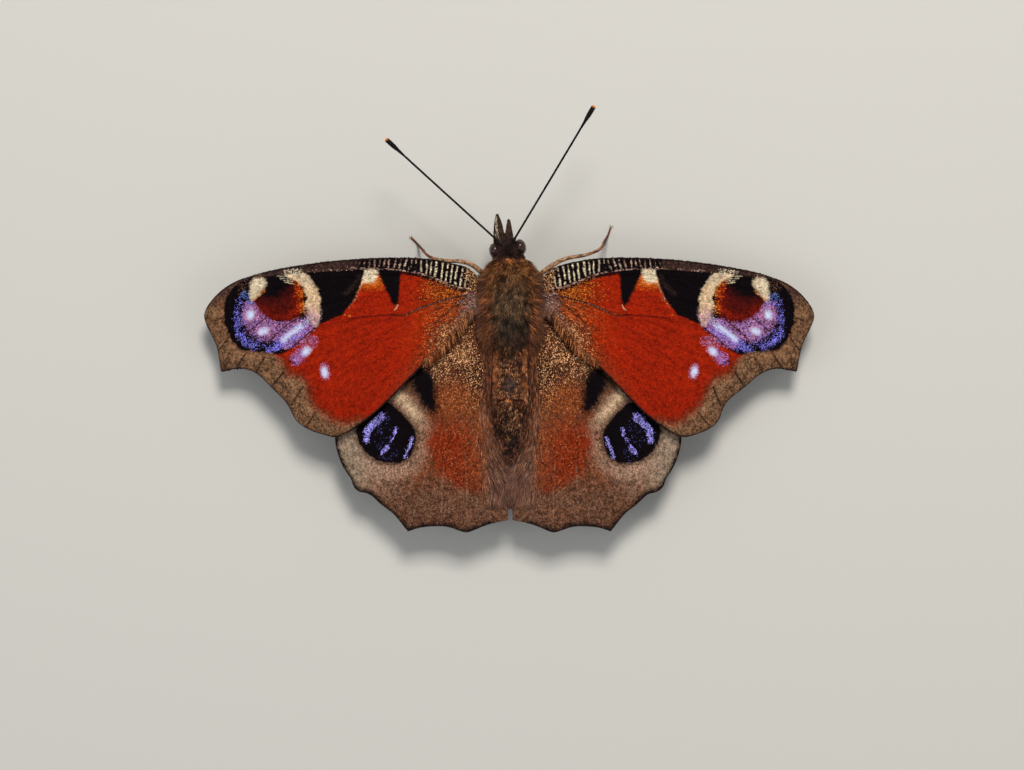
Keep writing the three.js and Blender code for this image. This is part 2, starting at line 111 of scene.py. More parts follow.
for name, place, size, power, hue in LAMPS:
    lamp_data = bpy.data.lights.new(name, "AREA")
    lamp_data.size = size
    lamp_data.energy = power
    lamp_data.color = hue
    lamp = bpy.data.objects.new(name, lamp_data)
    lamp.location = place
    lamp.rotation_euler = (LAMP_AIM - Vector(place)).to_track_quat("-Z", "Y").to_euler()
    scene.collection.objects.link(lamp)

world = bpy.data.worlds.new("world")
world.use_nodes = True
sky = world.node_tree.nodes["Background"]
sky.inputs["Color"].default_value = SKY_HUE
sky.inputs["Strength"].default_value = SKY_POWER
scene.world = world


# Shape of the wings
# A butterfly's wing is a stiff film between hollow veins. Both pairs lie in gently crowned sheets,
# the hind pair under the fore pair. x counts outwards from the body's middle plane, y forwards.
BODY_AXIS = 0.04          # the body's middle plane lies this far to the right
WING_ROOT_X = 3.0
WING_ROOT_RISE = 6.0
WING_FALL = 0.11          # for each mm outwards
WING_CROWN = 0.6
WING_SPAN = 27.6
WING_TILT = 0.03          # for each mm forwards
HIND_DROP = 1.12          # from the fore wing's sheet to the hind wing's
INNER_DIP = 0.5           # how far the hind wing's inner edge dips beside the abdomen
INNER_DIP_REACH = 3.4
FORE_LOWERING = 0.13      # the thin real wings lie this far inside their thick solids
HIND_RAISING = 0.17
FILM = 0.09               # thickness of the film
VEIN_RISE = 0.085
VEIN_WIDTH = 0.14
SIDES = {"left": -1, "right": 1}


def smooth_line(points, closed=False, steps=8):
    """Points along a smooth curve through a few given ones."""
    given = np.array(points, float)
    if closed:
        given = np.vstack([given[-1], given, given[0], given[1]])
    else:
        given = np.vstack([2 * given[0] - given[1], given, 2 * given[-1] - given[-2]])
    t = np.arange(steps)[:, None] / steps
    stretches = []
    for a, b, c, d in zip(given, given[1:], given[2:], given[3:]):
        bend = (2 * a - 5 * b + 4 * c - d) * t**2 + (3 * b - a - 3 * c + d) * t**3
        stretches.append(0.5 * (2 * b + (c - a) * t + bend))
    line = np.vstack(stretches)
    return line if closed else np.vstack([line, given[-2]])


def distance_to_line(x, y, line):
    """Distance of each point to a chain of points."""
    best = np.full(len(x), 1e9)
    for (ax, ay), (bx, by) in zip(line[:-1], line[1:]):
        dx, dy = bx - ax, by - ay
        t = np.clip(((x - ax) * dx + (y - ay) * dy) / (dx * dx + dy * dy + 1e-12), 0, 1)
        best = np.minimum(best, (x - ax - t * dx) ** 2 + (y - ay - t * dy) ** 2)
    return np.sqrt(best)


FORE_VEINS = [
    [(3.4, 3.7), (8, 5.1), (13, 5.5), (17.6, 5.65)],
    [(3.4, 3.4), (6, 4.2), (10, 4.55), (15, 4.55), (21, 3.9), (26, 2.6), (30, 0.9)],
    [(10, 4.55), (15, 5.15), (20.5, 5.25)],
    [(19, 4.2), (23.5, 4.2), (26.6, 3.85)],
    [(15, 4.55), (20, 2.5), (24.3, 0.4), (28, -1.5), (28.9, -2.7)],
    [(15, 4.55), (14.8, 3), (19, 1.5), (23.8, -1.7), (26.3, -3.3), (27.3, -4.5)],
    [(3.4, 2.7), (5.1, 2.1), (9, 1.1), (12.6, 0.5), (15, 0.27), (19.3, -0.7), (22.2, -2.8), (25.6, -4.9)],
    [(12.6, 0.5), (16.5, -1.3), (20, -3.6), (23.5, -6.3)],
    [(9, 1.1), (12, -1), (16, -3.9), (21.5, -8.5)],
    [(3.6, 2), (8, -1.4), (12.5, -5.9), (17.4, -11.2)],
]
HIND_VEINS = [
    [(3.4, 0.5), (7, 0.3), (12, -3.2), (15.6, -8.2), (16.9, -13)],
    [(3.4, 0.2), (6.5, -1.2), (9, -3.6), (12.3, -8.4), (15.4, -14.9)],
    [(9, -3.6), (10.5, -7.6), (13, -13), (14.6, -16.8)],
    [(6.5, -1.2), (7.6, -5.5), (10.3, -12), (12.4, -18.2)],
    [(3.4, -0.4), (5, -3.2), (6.4, -8.2), (8, -14), (10, -20.6)],
    [(6.4, -8.2), (6.6, -13), (6.9, -20.2)],
    [(5, -3.2), (4.9, -9), (4.4, -15), (4.3, -20.8)],
    [(3.3, -1.4), (3.5, -7), (2.7, -13.5), (2, -19.8)],
]
fore_vein_lines = [smooth_line(vein, steps=6) for vein in FORE_VEINS]
hind_vein_lines = [smooth_line(vein, steps=6) for vein in HIND_VEINS]


def vein_ridge(x, y, lines):
    """Height of the veins over the film."""
    nearest = np.min([distance_to_line(x, y, line) for line in lines], axis=0)
    return VEIN_RISE * np.exp(-((nearest / VEIN_WIDTH) ** 2))


def sheet_rise(x, y):
    """Height of the middle of the fore wing solids."""
    out = x - WING_ROOT_X
    crown = WING_CROWN * np.sin(np.pi * np.clip(out / WING_SPAN, 0, 1))
    return WING_ROOT_RISE - WING_FALL * np.maximum(out, 0) + crown + WING_TILT * (y - 3)


def fore_rise(x, y):
    """Height of the middle of the fore wing's film."""
    return sheet_rise(x, y) - FORE_LOWERING


def hind_rise(x, y):
    """Height of the middle of the hind wing's film."""
    inner = np.maximum(0, 1 - x / INNER_DIP_REACH)
    return sheet_rise(x, y) - HIND_DROP - INNER_DIP * inner**2 + HIND_RAISING


# Wing film
# The clear film and its veins, cut from the upper face of each wing's solid and thinned. It carries
# the same markings as the scales that cover it.
WELD = 0.002
FACES_UP = 0.3            # a face whose normal rises more than this belongs to the upper side
SHEET_CUTS = 3
EDGE_INSET = 0.03         # the scales reach this far past the film
EDGE_ROUNDS = 3           # rounds of evening along the edge
CORNER_TURN = 0.5         # an edge that turns more sharply, by its cosine, is a true corner
GRAIN_SIZE = 0.12


def unit(rows):
    """Each row made one long."""
    return rows / (np.linalg.norm(rows, axis=1, keepdims=True) + 1e-9)


def columns(*parts):
    """Lists and plain numbers side by side, as the columns of one table."""
    return np.stack(np.broadcast_arrays(*parts), axis=1)


def turning(edge):
    """1 where an edge loop runs to the left round its field, -1 where it runs to the right."""
    ahead = np.roll(edge, -1, axis=0)
    return np.sign(np.sum(edge[:, 0] * ahead[:, 1] - ahead[:, 0] * edge[:, 1]))


def wing_sheet(node, side, rise, veins):
    """The upper face of a wing's solid, made finer, as a bmesh with its edge loop in wing places."""
    bm = bmesh.new()
    bm.from_mesh(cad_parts[node].data)
    bmesh.ops.remove_doubles(bm, verts=bm.verts, dist=WELD * MM)
    bm.normal_update()
    lower = [face for face in bm.faces if face.normal.z < FACES_UP]
    bmesh.ops.delete(bm, geom=lower, context="FACES")
    bmesh.ops.subdivide_edges(bm, edges=bm.edges, cuts=SHEET_CUTS, use_grid_fill=True)
    start = next(vert for vert in bm.verts if vert.is_boundary)
    loop, before, here = [start], None, start
    while True:
        nearby = [part.other_vert(here) for part in here.link_edges if part.is_boundary]
        before, here = here, next(vert for vert in nearby if vert != before)
        if here == start:
            break
        loop.append(here)
    edge = np.array([vert.co[:2] for vert in loop]) / MM
    edge[:, 0] = side * (edge[:, 0] - BODY_AXIS)
    turn = unit(np.roll(edge, -1, axis=0) - edge) * unit(edge - np.roll(edge, 1, axis=0))
    corner, given = turn.sum(axis=1) < CORNER_TURN, edge
    for _ in range(EDGE_ROUNDS):
        edge = 0.5 * edge + 0.25 * (np.roll(edge, -1, axis=0) + np.roll(edge, 1, axis=0))
    edge[corner] = 0.2 * edge[corner] + 0.8 * given[corner]
    tangent = unit(np.roll(edge, -1, axis=0) - np.roll(edge, 1, axis=0))
    inset = edge + columns(-tangent[:, 1], tangent[:, 0]) * EDGE_INSET * turning(edge)
    for vert, (x, y) in zip(loop, inset):
        vert.co.x, vert.co.y = (side * x + BODY_AXIS) * MM, y * MM
    places = np.array([vert.co[:2] for vert in bm.verts]) / MM
    places[:, 0] = side * (places[:, 0] - BODY_AXIS)
    heights = rise(places[:, 0], places[:, 1]) + vein_ridge(places[:, 0], places[:, 1], veins) + FILM / 2
    for vert, z in zip(bm.verts, heights):
        vert.co.z = z * MM
    bm.normal_update()
    return bm, edge


def points_of(obj):
    """Places of a mesh's points in mm."""
    return np.array([vert.co[:] for vert in obj.data.vertices]) / MM


def paint_mesh(mesh, tint):
    """Stores one linear colour per vertex."""
    layer = mesh.color_attributes.new("paint", "FLOAT_COLOR", "POINT")
    layer.data.foreach_set("color", np.c_[tint, np.ones(len(tint))].ravel())


def painted_material(name, roughness, specular=0.25, sheen=0.0, grain=0.0):
    """A material whose colour is the painted one, with a fine grain in its brightness and surface."""
    material, tree, shader = finish_of(name, roughness, specular)
    shader.inputs["Sheen Weight"].default_value = sheen
    shader.inputs["Sheen Roughness"].default_value = 0.4
    paint = tree.nodes.new("ShaderNodeAttribute")
    paint.attribute_name = "paint"
    tree.links.new(paint.outputs["Color"], shader.inputs["Base Color"])
    if grain:
        place = tree.nodes.new("ShaderNodeTexCoord")
        noise = tree.nodes.new("ShaderNodeTexNoise")
        noise.inputs["Scale"].default_value = 1 / (GRAIN_SIZE * MM)
        noise.inputs["Detail"].default_value = 2
        bump = tree.nodes.new("ShaderNodeBump")
        bump.inputs["Distance"].default_value = grain * MM
        tree.links.new(place.outputs["Object"], noise.inputs["Vector"])
        tree.links.new(noise.outputs["Fac"], bump.inputs["Height"])
        tree.links.new(bump.outputs["Normal"], shader.inputs["Normal"])
    return material


film_material = painted_material("wing_film", 0.7, 0.06, grain=0.02)


# Markings of the wings
# Each scale has one colour. Where two fields meet their scales mingle, so each field gives a scale its
# colour as surely as the field is deep there. The under sides are sooty brown with dark lines.
PAINTS = {                # screen values, 0 to 255
    "red": (152, 31, 5), "deep_red": (122, 22, 5), "maroon": (70, 12, 8), "ember": (108, 42, 22),
    "russet": (112, 42, 12), "flush": (120, 36, 11), "rust": (128, 60, 26), "orange": (196, 76, 16),
    "amber": (206, 120, 38), "gold": (208, 154, 104), "tan": (180, 116, 70), "straw": (226, 212, 172),
    "cream": (204, 174, 138), "chalk": (212, 194, 164), "rose": (196, 156, 138), "stone": (138, 108, 88),
    "pale": (200, 206, 232), "violet": (114, 108, 202), "dim_violet": (70, 66, 130),
    "periwinkle": (146, 138, 216), "blue": (84, 106, 174), "mauve": (172, 118, 162),
    "lilac": (124, 96, 88), "olive": (142, 124, 104), "rear": (104, 70, 52), "brown": (92, 54, 36),
    "margin": (116, 84, 60), "margin_light": (142, 108, 80), "margin_dark": (80, 54, 38),
    "costa": (60, 41, 36), "umber": (44, 25, 18), "edge": (30, 19, 17), "black": (10, 5, 8),
    "soot": (34, 27, 26), "ash": (74, 62, 54),
}


MOTTLE_CELLS = 64
NEAR_LINE = 1.6           # distances from a line are measured up to about here


def is_inside(x, y, loop):
    """Whether each point lies within a closed chain."""
    within = np.zeros(len(x), bool)
    for (ax, ay), (bx, by) in zip(loop, np.roll(loop, -1, axis=0)):
        if ay != by:
            within ^= ((ay > y) != (by > y)) & (x < (bx - ax) * (y - ay) / (by - ay) + ax)
    return within


def depth_inside(x, y, loop):
    """Distance to a closed chain, positive inside."""
    away = distance_to_line(x, y, np.vstack([loop, loop[:1]]))
    return np.where(is_inside(x, y, loop), away, -away)


def mottle(x, y, size, seed):
    """A smooth random field between -1 and 1 that changes over about one size."""
    grid = np.random.default_rng(seed).uniform(-1, 1, (MOTTLE_CELLS, MOTTLE_CELLS))
    u, v = x / size, y / size
    i, j = np.floor(u).astype(int), np.floor(v).astype(int)
    s, t = u - i, v - j
    s, t = s * s * (3 - 2 * s), t * t * (3 - 2 * t)
    low, high = j % MOTTLE_CELLS, (j + 1) % MOTTLE_CELLS
    rows = (i % MOTTLE_CELLS, (i + 1) % MOTTLE_CELLS)
    near, far = (grid[row, low] * (1 - t) + grid[row, high] * t for row in rows)
    return near * (1 - s) + far * s


class Markings:
    """Colours of many scales, laid field over field."""

    def __init__(self, x, y, hub, seed):
        self.x, self.y = x, y
        self.dice = np.random.default_rng(seed)
        out_x, out_y = x - hub[0], y - hub[1]
        reach, angle = np.hypot(out_x, out_y), np.arctan2(out_y, out_x)
        self.streak = mottle(reach / 6, angle * 22, 0.2, 5) + 0.5 * mottle(reach / 6, angle * 60, 0.2, 6)
        self.rough = mottle(x, y, 0.45, 7)
        self.ray = mottle(reach / 9, angle * 48, 0.2, 8)
        self.grit = mottle(reach / 1.5, angle * 13, 0.09, 9) + 0.5 * mottle(reach / 3, angle * 7, 0.09, 10)
        self.tint = np.zeros((len(x), 3))

    def lay(self, paint, chance, grain=0.45, vary=0.2):
        """Gives each scale this paint as surely as its chance; grain tells how far whole scales differ."""
        share = grain * (self.dice.random(len(self.x)) < chance) + (1 - grain) * np.clip(chance, 0, 1)
        shade = 1 + vary * (self.dice.normal(size=len(self.x)) + 2 * self.grit)
        laid = linear(PAINTS[paint])[None] * np.clip(shade, 0.3, 2.0)[:, None]
        self.tint += (laid - self.tint) * np.reshape(share, (-1, 1))

    def around(self, line, measure, beyond):
        """A distance that is only measured close to a line."""
        low, high = line.min(axis=0) - NEAR_LINE, line.max(axis=0) + NEAR_LINE
        close = (self.x > low[0]) & (self.x < high[0]) & (self.y > low[1]) & (self.y < high[1])
        found = np.full(len(self.x), float(beyond))
        found[close] = measure(self.x[close], self.y[close], line)
        return found

    def field(self, loop, soft=0.25, streaks=0.0, rough=0.06):
        """How surely each scale belongs to a smooth closed field."""
        deep = self.around(smooth_line(loop, closed=True, steps=5), depth_inside, -9)
        return np.clip(0.5 + (deep + streaks * self.streak + rough * self.rough) / soft, 0, 1)

    def line(self, points, width, soft=0.12, streaks=0.0):
        """How surely each scale belongs to a smooth line."""
        away = self.around(smooth_line(points, steps=5), distance_to_line, 9)
        return np.clip(0.5 + (width / 2 - away + streaks * self.streak) / soft, 0, 1)

    def spot(self, centre, radii, turn=0.0, soft=0.2):
        """How surely each scale belongs to an oval spot."""
        c, s = math.cos(math.radians(turn)), math.sin(math.radians(turn))
        u = ((self.x - centre[0]) * c + (self.y - centre[1]) * s) / radii[0]
        v = ((self.y - centre[1]) * c - (self.x - centre[0]) * s) / radii[1]
        return np.clip(0.5 + (1 - np.hypot(u, v)) * min(radii) / soft, 0, 1)


def slope(value, start, end):
    """Rises from 0 where the value passes start to 1 where it passes end."""
    return np.clip((value - start) / (end - start), 0, 1)


# the scales of each wing point away from its hub
FORE_HUB = (-1.5, 4.0)
HIND_HUB = (1.2, 2.5)

# the inner side of the brown margin, the lower side of the front edge, and the stem of veins
MARGIN_LINE = [
    (27.0, 3.95), (27.75, 3.3), (28.46, 2.1), (28.66, 0.83), (28.46, -0.45), (28.08, -1.47), (27.57, -2.37),
    (26.92, -2.95), (25.77, -3.14), (24.36, -3.27), (23.34, -3.53), (22.69, -4.55), (22.04, -5.4),
    (20.75, -5.96), (20.26, -7.0), (20.0, -8.0), (19.36, -8.9), (18.34, -9.55), (17.31, -10.25),
    (16.04, -10.4), (14.6, -10.1),
]
BEYOND_MARGIN = [(14.0, -12.0), (18, -16), (36, -14), (36, 4), (28.5, 4.6)]
COSTA_LOWER = [
    (2.3, 2.8), (3.4, 2.95), (4.84, 3.1), (5.86, 3.42), (6.9, 3.83), (7.9, 4.2), (9.3, 4.58), (11, 4.83),
    (12.5, 4.95), (14.5, 5.03), (20, 4.72),
]
MARGIN_VEINS = [
    [(28.6, 0.4), (29.6, -0.1)], [(27.9, -1.4), (29.15, -3.0)], [(26.2, -3.0), (27.3, -4.6)],
    [(24.5, -3.7), (25.6, -5.5)], [(22.6, -5.2), (24.0, -6.9)], [(20.6, -6.6), (21.8, -8.4)],
    [(19.2, -9.0), (20.2, -10.4)],
]
BEYOND_COSTA = [(25.6, 4.25), (27.2, 3.75), (34, 6), (2, 9)]
BAR_PITCH = 0.52
BARS_FROM, BARS_TO = 3.9, 15.2
STEM = [
    (4.3, 2.45), (5.45, 2.2), (7.7, 1.58), (9.3, 0.97), (10.55, 0.46), (12, 0.5), (15, 0.25), (17, -0.1),
    (19.2, -0.75),
]


def lay_base(m, x, y):
    """The dusted brown and golden ground near the fore wing's root."""
    above = slope(y - 2.2 + 0.25 * (x - 5.4), -0.3, 0.3)
    m.lay("orange", 0.26 * slope(x - 0.8 * m.streak, 11.4, 7.5) * (1 - 0.6 * above))
    trailing = m.line([(4, -0.2), (7, -2.6), (9.6, -5.2), (12, -7.7), (14, -9.9)], 1.6, 1.6)
    m.lay("ember", 0.7 * trailing * slope(x, 14, 9))
    rooted = slope(x - 0.9 * m.streak, 9.3, 6.2)
    m.lay("russet", 0.8 * rooted, 0.3)
    m.lay("orange", 0.48 * rooted * (1 - above), 0.8)
    m.lay("tan", 0.16 * slope(x - 0.6 * m.streak, 8.8, 6.0) * (1 - above), 0.9)
    m.lay("amber", 0.3 * rooted * above, 1)
    m.lay("umber", np.clip(0.16 + 0.9 * m.ray, 0.06, 0.9) * slope(x - 0.6 * m.streak, 9.9, 7.2), 0.8)
    dusty = slope(x + 0.3 * m.streak, 8.5, 5.9) * slope(y + 0.35 * (x - 5) + 0.3 * m.rough, 0.8, -0.6)
    m.lay("brown", 0.8 * dusty)
    m.lay("rust", 0.4 * dusty, 0.8)
    m.lay("umber", 0.35 * dusty, 0.9)
    m.lay("gold", 0.26 * dusty, 1)
    m.lay("umber", 0.85 * m.line([(7.4, -0.3), (5.6, 1.25), (4.4, 2.2), (3.4, 3.0)], 0.2, 0.25))
    m.lay("umber", 0.5 * slope(x + 0.3 * m.rough, 5.8, 4.6) * slope(y, 3.0, 2.2), 0.8)
    hairy = slope(x + 0.25 * y + 0.3 * m.rough, 5.6, 4.4) * slope(y, 3.0, 2.4)
    m.lay("lilac", 0.7 * hairy, 0.7)
    m.lay("rose", 0.3 * hairy * slope(m.ray, 0.1, 0.5), 0.8)
    m.lay("edge", 0.8 * hairy * slope(m.ray, -0.1, -0.5), 0.7)
    m.lay("rose", 0.6 * m.line([(4.7, 2.35), (3.9, 2.9), (3.3, 3.3)], 0.16, 0.2), 0.8)


def lay_dark_marks(m):
    """The black bar in the cell, the cream tooth and the large black patch beyond it, with a painted sheen
    line inside the patch.
    """
    m.lay("cream", 0.8 * m.line([(11.12, 1.45), (11.22, 1.2), (11.42, 1.0)], 0.1, 0.1), 0.3)
    under_tooth = m.field(
        [(15, 4.2), (12.9, 4.2), (12.6, 3.4), (13.2, 2.9), (14.3, 2.7), (15.2, 2.6)], 1.0, 0.16)
    m.lay("orange", 0.6 * under_tooth * slope(m.y, 2.5, 3.5), 0.7)
    m.lay("amber", 0.6 * under_tooth * slope(m.y, 2.9, 3.8), 0.7)
    beside_patch = m.line([(14.7, 3.9), (15.1, 3.0), (15.5, 2.2), (16.1, 1.3)], 0.3, 0.5, 0.1)
    beside_patch *= slope(m.y, 1.1, 3.2)
    m.lay("tan", 0.75 * beside_patch, 0.7)
    m.lay("cream", 0.4 * beside_patch, 0.9)
    m.lay("black", m.field(
        [(13.1, 5.05), (10.9, 5.05), (10.85, 4.1), (10.9, 3.1), (10.95, 2.1), (11.28, 1.35), (11.66, 1.75),
         (12.1, 2.6), (12.5, 3.45), (12.9, 4.3)], 0.24, 0.05), 0.3)
    tooth = [(14.6, 5.05), (13.25, 5.05), (13.15, 4.3), (13.4, 3.85), (14.0, 3.7), (14.6, 3.85)]
    m.lay("chalk", m.field(tooth, 0.34, 0.08), 0.4)
    m.lay("black", m.field(
        [(20.7, 4.95), (17.5, 5.0), (14.6, 5.05), (14.65, 4.1), (14.95, 3.1), (15.5, 2.1), (16.05, 1.2),
         (16.65, 0.52), (17.7, 0.1), (18.9, -0.5), (19.5, -0.85), (19.8, 0.3), (19.9, 1.8), (20.3, 3.4)],
        0.16, 0.03), 0.3)
    # painted sheen: a line of lighter brown inside the black patch along its inner edge
    m.lay("costa", 0.4 * m.line([(14.9, 4.2), (15.5, 3.4), (16.3, 2.6)], 0.3, 0.5, 0.06))


def lay_eye_ground(m):
    """The black disc of the eye spot with its mauve and violet dusting."""
    m.lay("black", m.field([
        (27.2, 4.6), (29, 3.4), (29.3, 1), (29, -1.2), (28, -3), (26, -3.7), (24.4, -3.6), (22.9, -3.4),
        (21.9, -2.85), (20.6, -1.95), (19.4, -0.9), (18.95, -0.2), (18.9, 1.35), (18.85, 2.37), (19.17, 3.27),
        (19.75, 4.04), (20.6, 4.7), (22.5, 4.9), (25.0, 4.6)], 0.2, 0.04), 0.3)
    mauve = m.field(
        [(25.75, 2.0), (26.6, 1.5), (26.75, 0.4), (26.6, -0.6), (25.6, -1.85), (24.2, -2.25), (23.3, -2.1),
         (22.2, -2.95), (20.7, -2.0), (19.3, -0.65), (19.5, 0.2), (20.8, 0.1), (22.9, -0.2), (23.9, 0.15),
         (24.8, 0.9), (25.2, 1.6)], 0.4, 0.08)
    m.lay("maroon", mauve)
    m.lay("mauve", 0.56 * mauve, 0.95)
    m.lay("violet", 0.14 * mauve, 0.9)
    below = [(26.9, -0.4), (26.3, -1.2), (25.5, -1.8), (24.6, -2.3), (23.6, -2.4)]
    m.lay("black", 0.75 * m.line(below, 0.7, 0.7, 0.15), 0.8)
    for path, width, chance in (
        ([(26.95, 1.75), (27.1, 0.9), (27.2, 0.0), (27.15, -0.9), (26.8, -1.7)], 0.75, 0.28),
        ([(27.3, 0.1), (27.35, -0.6), (27.1, -1.5)], 0.5, 0.28),
        ([(26.6, -2.0), (26.1, -2.4), (25.4, -2.6)], 0.5, 0.62),
        ([(26.1, -1.3), (25.3, -2.0), (24.6, -2.4)], 0.5, 0.22),
        ([(24.0, -3.0), (23.55, -2.7), (23.0, -2.3)], 0.4, 0.75),
        ([(23.0, -2.5), (21.8, -1.75), (20.6, -0.8)], 0.95, 0.3),
    ):
        m.lay("violet", chance * m.line(path, width, 0.6, 0.1), 1, 0.3)
    m.lay("blue", 0.5 * m.line([(26.6, 2.55), (26.2, 2.25), (25.9, 2.1)], 0.5, 0.5, 0.1), 1)
    m.lay("rear", 0.3 * m.line([(26.7, 3.1), (26.2, 3.4)], 0.7, 0.8, 0.1), 1)
    for vein in (
        [(24.15, 0.36), (24.9, -0.15), (25.6, -0.75), (26.3, -1.3)],
        [(21.6, -0.03), (22.3, -0.55), (22.9, -1.05), (23.9, -1.94)],
        [(19.2, -0.66), (20.8, -1.9), (21.6, -2.6), (22.4, -3.2)],
    ):
        m.lay("maroon", 0.95 * m.line(vein, 0.13, 0.08), 0.2)
    m.lay("mauve", 0.5 * m.spot((25.9, 0.55), (0.8, 0.85), 15, 0.5), 0.9)
    m.lay("mauve", 0.45 * m.spot((24.6, -1.1), (0.95, 0.65), -20, 0.5), 0.9)
    m.lay("pale", m.spot((25.93, 0.55), (0.36, 0.46), 20, 0.36), 0.35, 0.05)
    m.lay("pale", m.spot((24.6, -1.1), (0.5, 0.31), -20, 0.36), 0.35, 0.05)
    m.lay("pale", 0.92 * m.line([(22.6, -1.95), (21.85, -1.35), (20.9, -0.7)], 0.46, 0.4), 0.35, 0.05)
    m.lay("pale", 0.45 * m.line([(20.9, -0.75), (20.2, -0.1), (19.85, 0.2)], 0.4, 0.5), 0.7)


def lay_eye_heart(m):
    """The maroon heart of the eye spot, its cream ring and the cream bar at the wing's tip."""
    m.lay("maroon", m.field(
        [(25.5, 1.95), (24.7, 2.45), (23.8, 3.3), (22.9, 4.0), (21.6, 4.15), (20.8, 3.6), (20.5, 2.6),
         (20.45, 1.5), (20.7, 0.6), (21.6, 0.12), (22.9, -0.12), (24.1, 0.35), (25.05, 1.15)], 0.3, 0.08))
    m.lay("deep_red", 0.55 * m.line(
        [(24.9, 1.1), (24.0, 0.6), (22.5, 0.3), (21.6, 0.7), (21.2, 1.6), (21.2, 3.0)], 0.7, 1.0, 0.1), 0.6)
    within_rim = [(21.9, 0.6), (21.0, 1.2), (20.9, 2.2), (21.1, 3.3), (21.6, 3.9)]
    m.lay("red", 0.5 * m.line(within_rim, 0.25, 0.6, 0.16), 0.7)
    m.lay("black", m.field(
        [(25.1, 2.9), (24.4, 4.35), (22.9, 4.75), (21.7, 4.25), (21.6, 3.4), (22.3, 2.6), (23.5, 2.15),
         (24.6, 2.1)], 1.2, 0.2), 0.4)
    rim = [(21.6, 3.9), (20.95, 3.5), (20.65, 2.6), (20.55, 1.5), (20.6, 0.7)]
    m.lay("amber", 0.5 * m.line(rim, 0.24, 0.5, 0.2), 0.9)
    m.lay("orange", 0.35 * m.line([(21.4, 3.7), (20.95, 2.6), (20.9, 1.4)], 0.4, 0.6, 0.2), 0.9)
    m.lay("cream", m.field(
        [(22.3, 4.95), (21.6, 5.3), (20.84, 4.95), (19.94, 4.2), (19.2, 3.1), (18.83, 2.05), (18.95, 0.9),
         (18.95, 0.0), (19.3, -0.62), (19.75, -0.1), (20.05, 0.7), (20.35, 1.6), (20.25, 2.4), (20.55, 3.2),
         (21.2, 3.85), (22.1, 4.3)], 0.24, 0.08), 0.35)
    m.lay("chalk", 0.8 * m.line([(22.2, 4.85), (21.0, 4.6), (20.0, 3.7)], 0.5, 0.6))
    ring_middle = [(22.0, 5.0), (20.4, 4.4), (19.4, 2.8), (19.4, 0.8)]
    m.lay("stone", 0.4 * m.line(ring_middle, 0.9, 0.5) * slope(m.rough, 0.1, 0.6))
    for k in range(5):
        y = 4.55 - 0.2 * k
        streak = [(21.6, y - 0.12), (22.5, y), (23.7 - 0.4 * k, y + 0.02)]
        m.lay("chalk", 0.7 * m.line(streak, 0.07, 0.07), 0.6)
    m.lay("rose", 0.55 * m.field([(18.9, 1.3), (19.2, -0.5), (20.0, 0.1), (20.3, 1.3)], 0.6))
    m.lay("mauve", 0.35 * m.field([(18.9, 0.5), (19.25, -0.6), (20.1, 0.1), (20.2, 0.8)], 0.5), 0.8)
    m.lay("amber", 0.7 * m.line([(24.5, 2.95), (25.1, 2.45), (25.6, 2.05)], 0.16, 0.25), 0.7)
    m.lay("chalk", m.field(
        [(25.6, 4.15), (24.8, 4.3), (24.35, 3.8), (24.65, 3.15), (25.2, 2.5), (25.85, 1.95), (25.95, 2.7),
         (25.9, 3.4)], 0.4, 0.1), 0.4)
    m.lay("cream", 0.5 * m.line([(24.5, 3.7), (24.9, 3.0), (25.7, 2.2)], 0.3, 0.4))


def lay_red_spots(m):
    """The two pale spots in the red field, each in a thin violet halo."""
    m.lay("mauve", 0.5 * m.line([(21.3, -3.9), (20.5, -3.0), (19.8, -2.1)], 1.1, 0.6, 0.12), 0.9)
    m.lay("violet", 0.34 * m.line([(21.4, -4.0), (20.5, -3.2)], 0.8, 0.5, 0.12), 0.95)
    m.lay("pale", m.spot((20.26, -3.1), (0.48, 0.34), -40, 0.32), 0.35, 0.05)
    m.lay("black", 0.8 * m.line([(21.95, -4.1), (21.45, -4.25)], 0.26, 0.2))
    m.lay("mauve", 0.75 * m.spot((18.42, -5.12), (0.46, 0.74), -12, 0.35), 0.9)
    m.lay("pale", m.spot((18.44, -5.15), (0.3, 0.5), -12, 0.28), 0.3, 0.05)


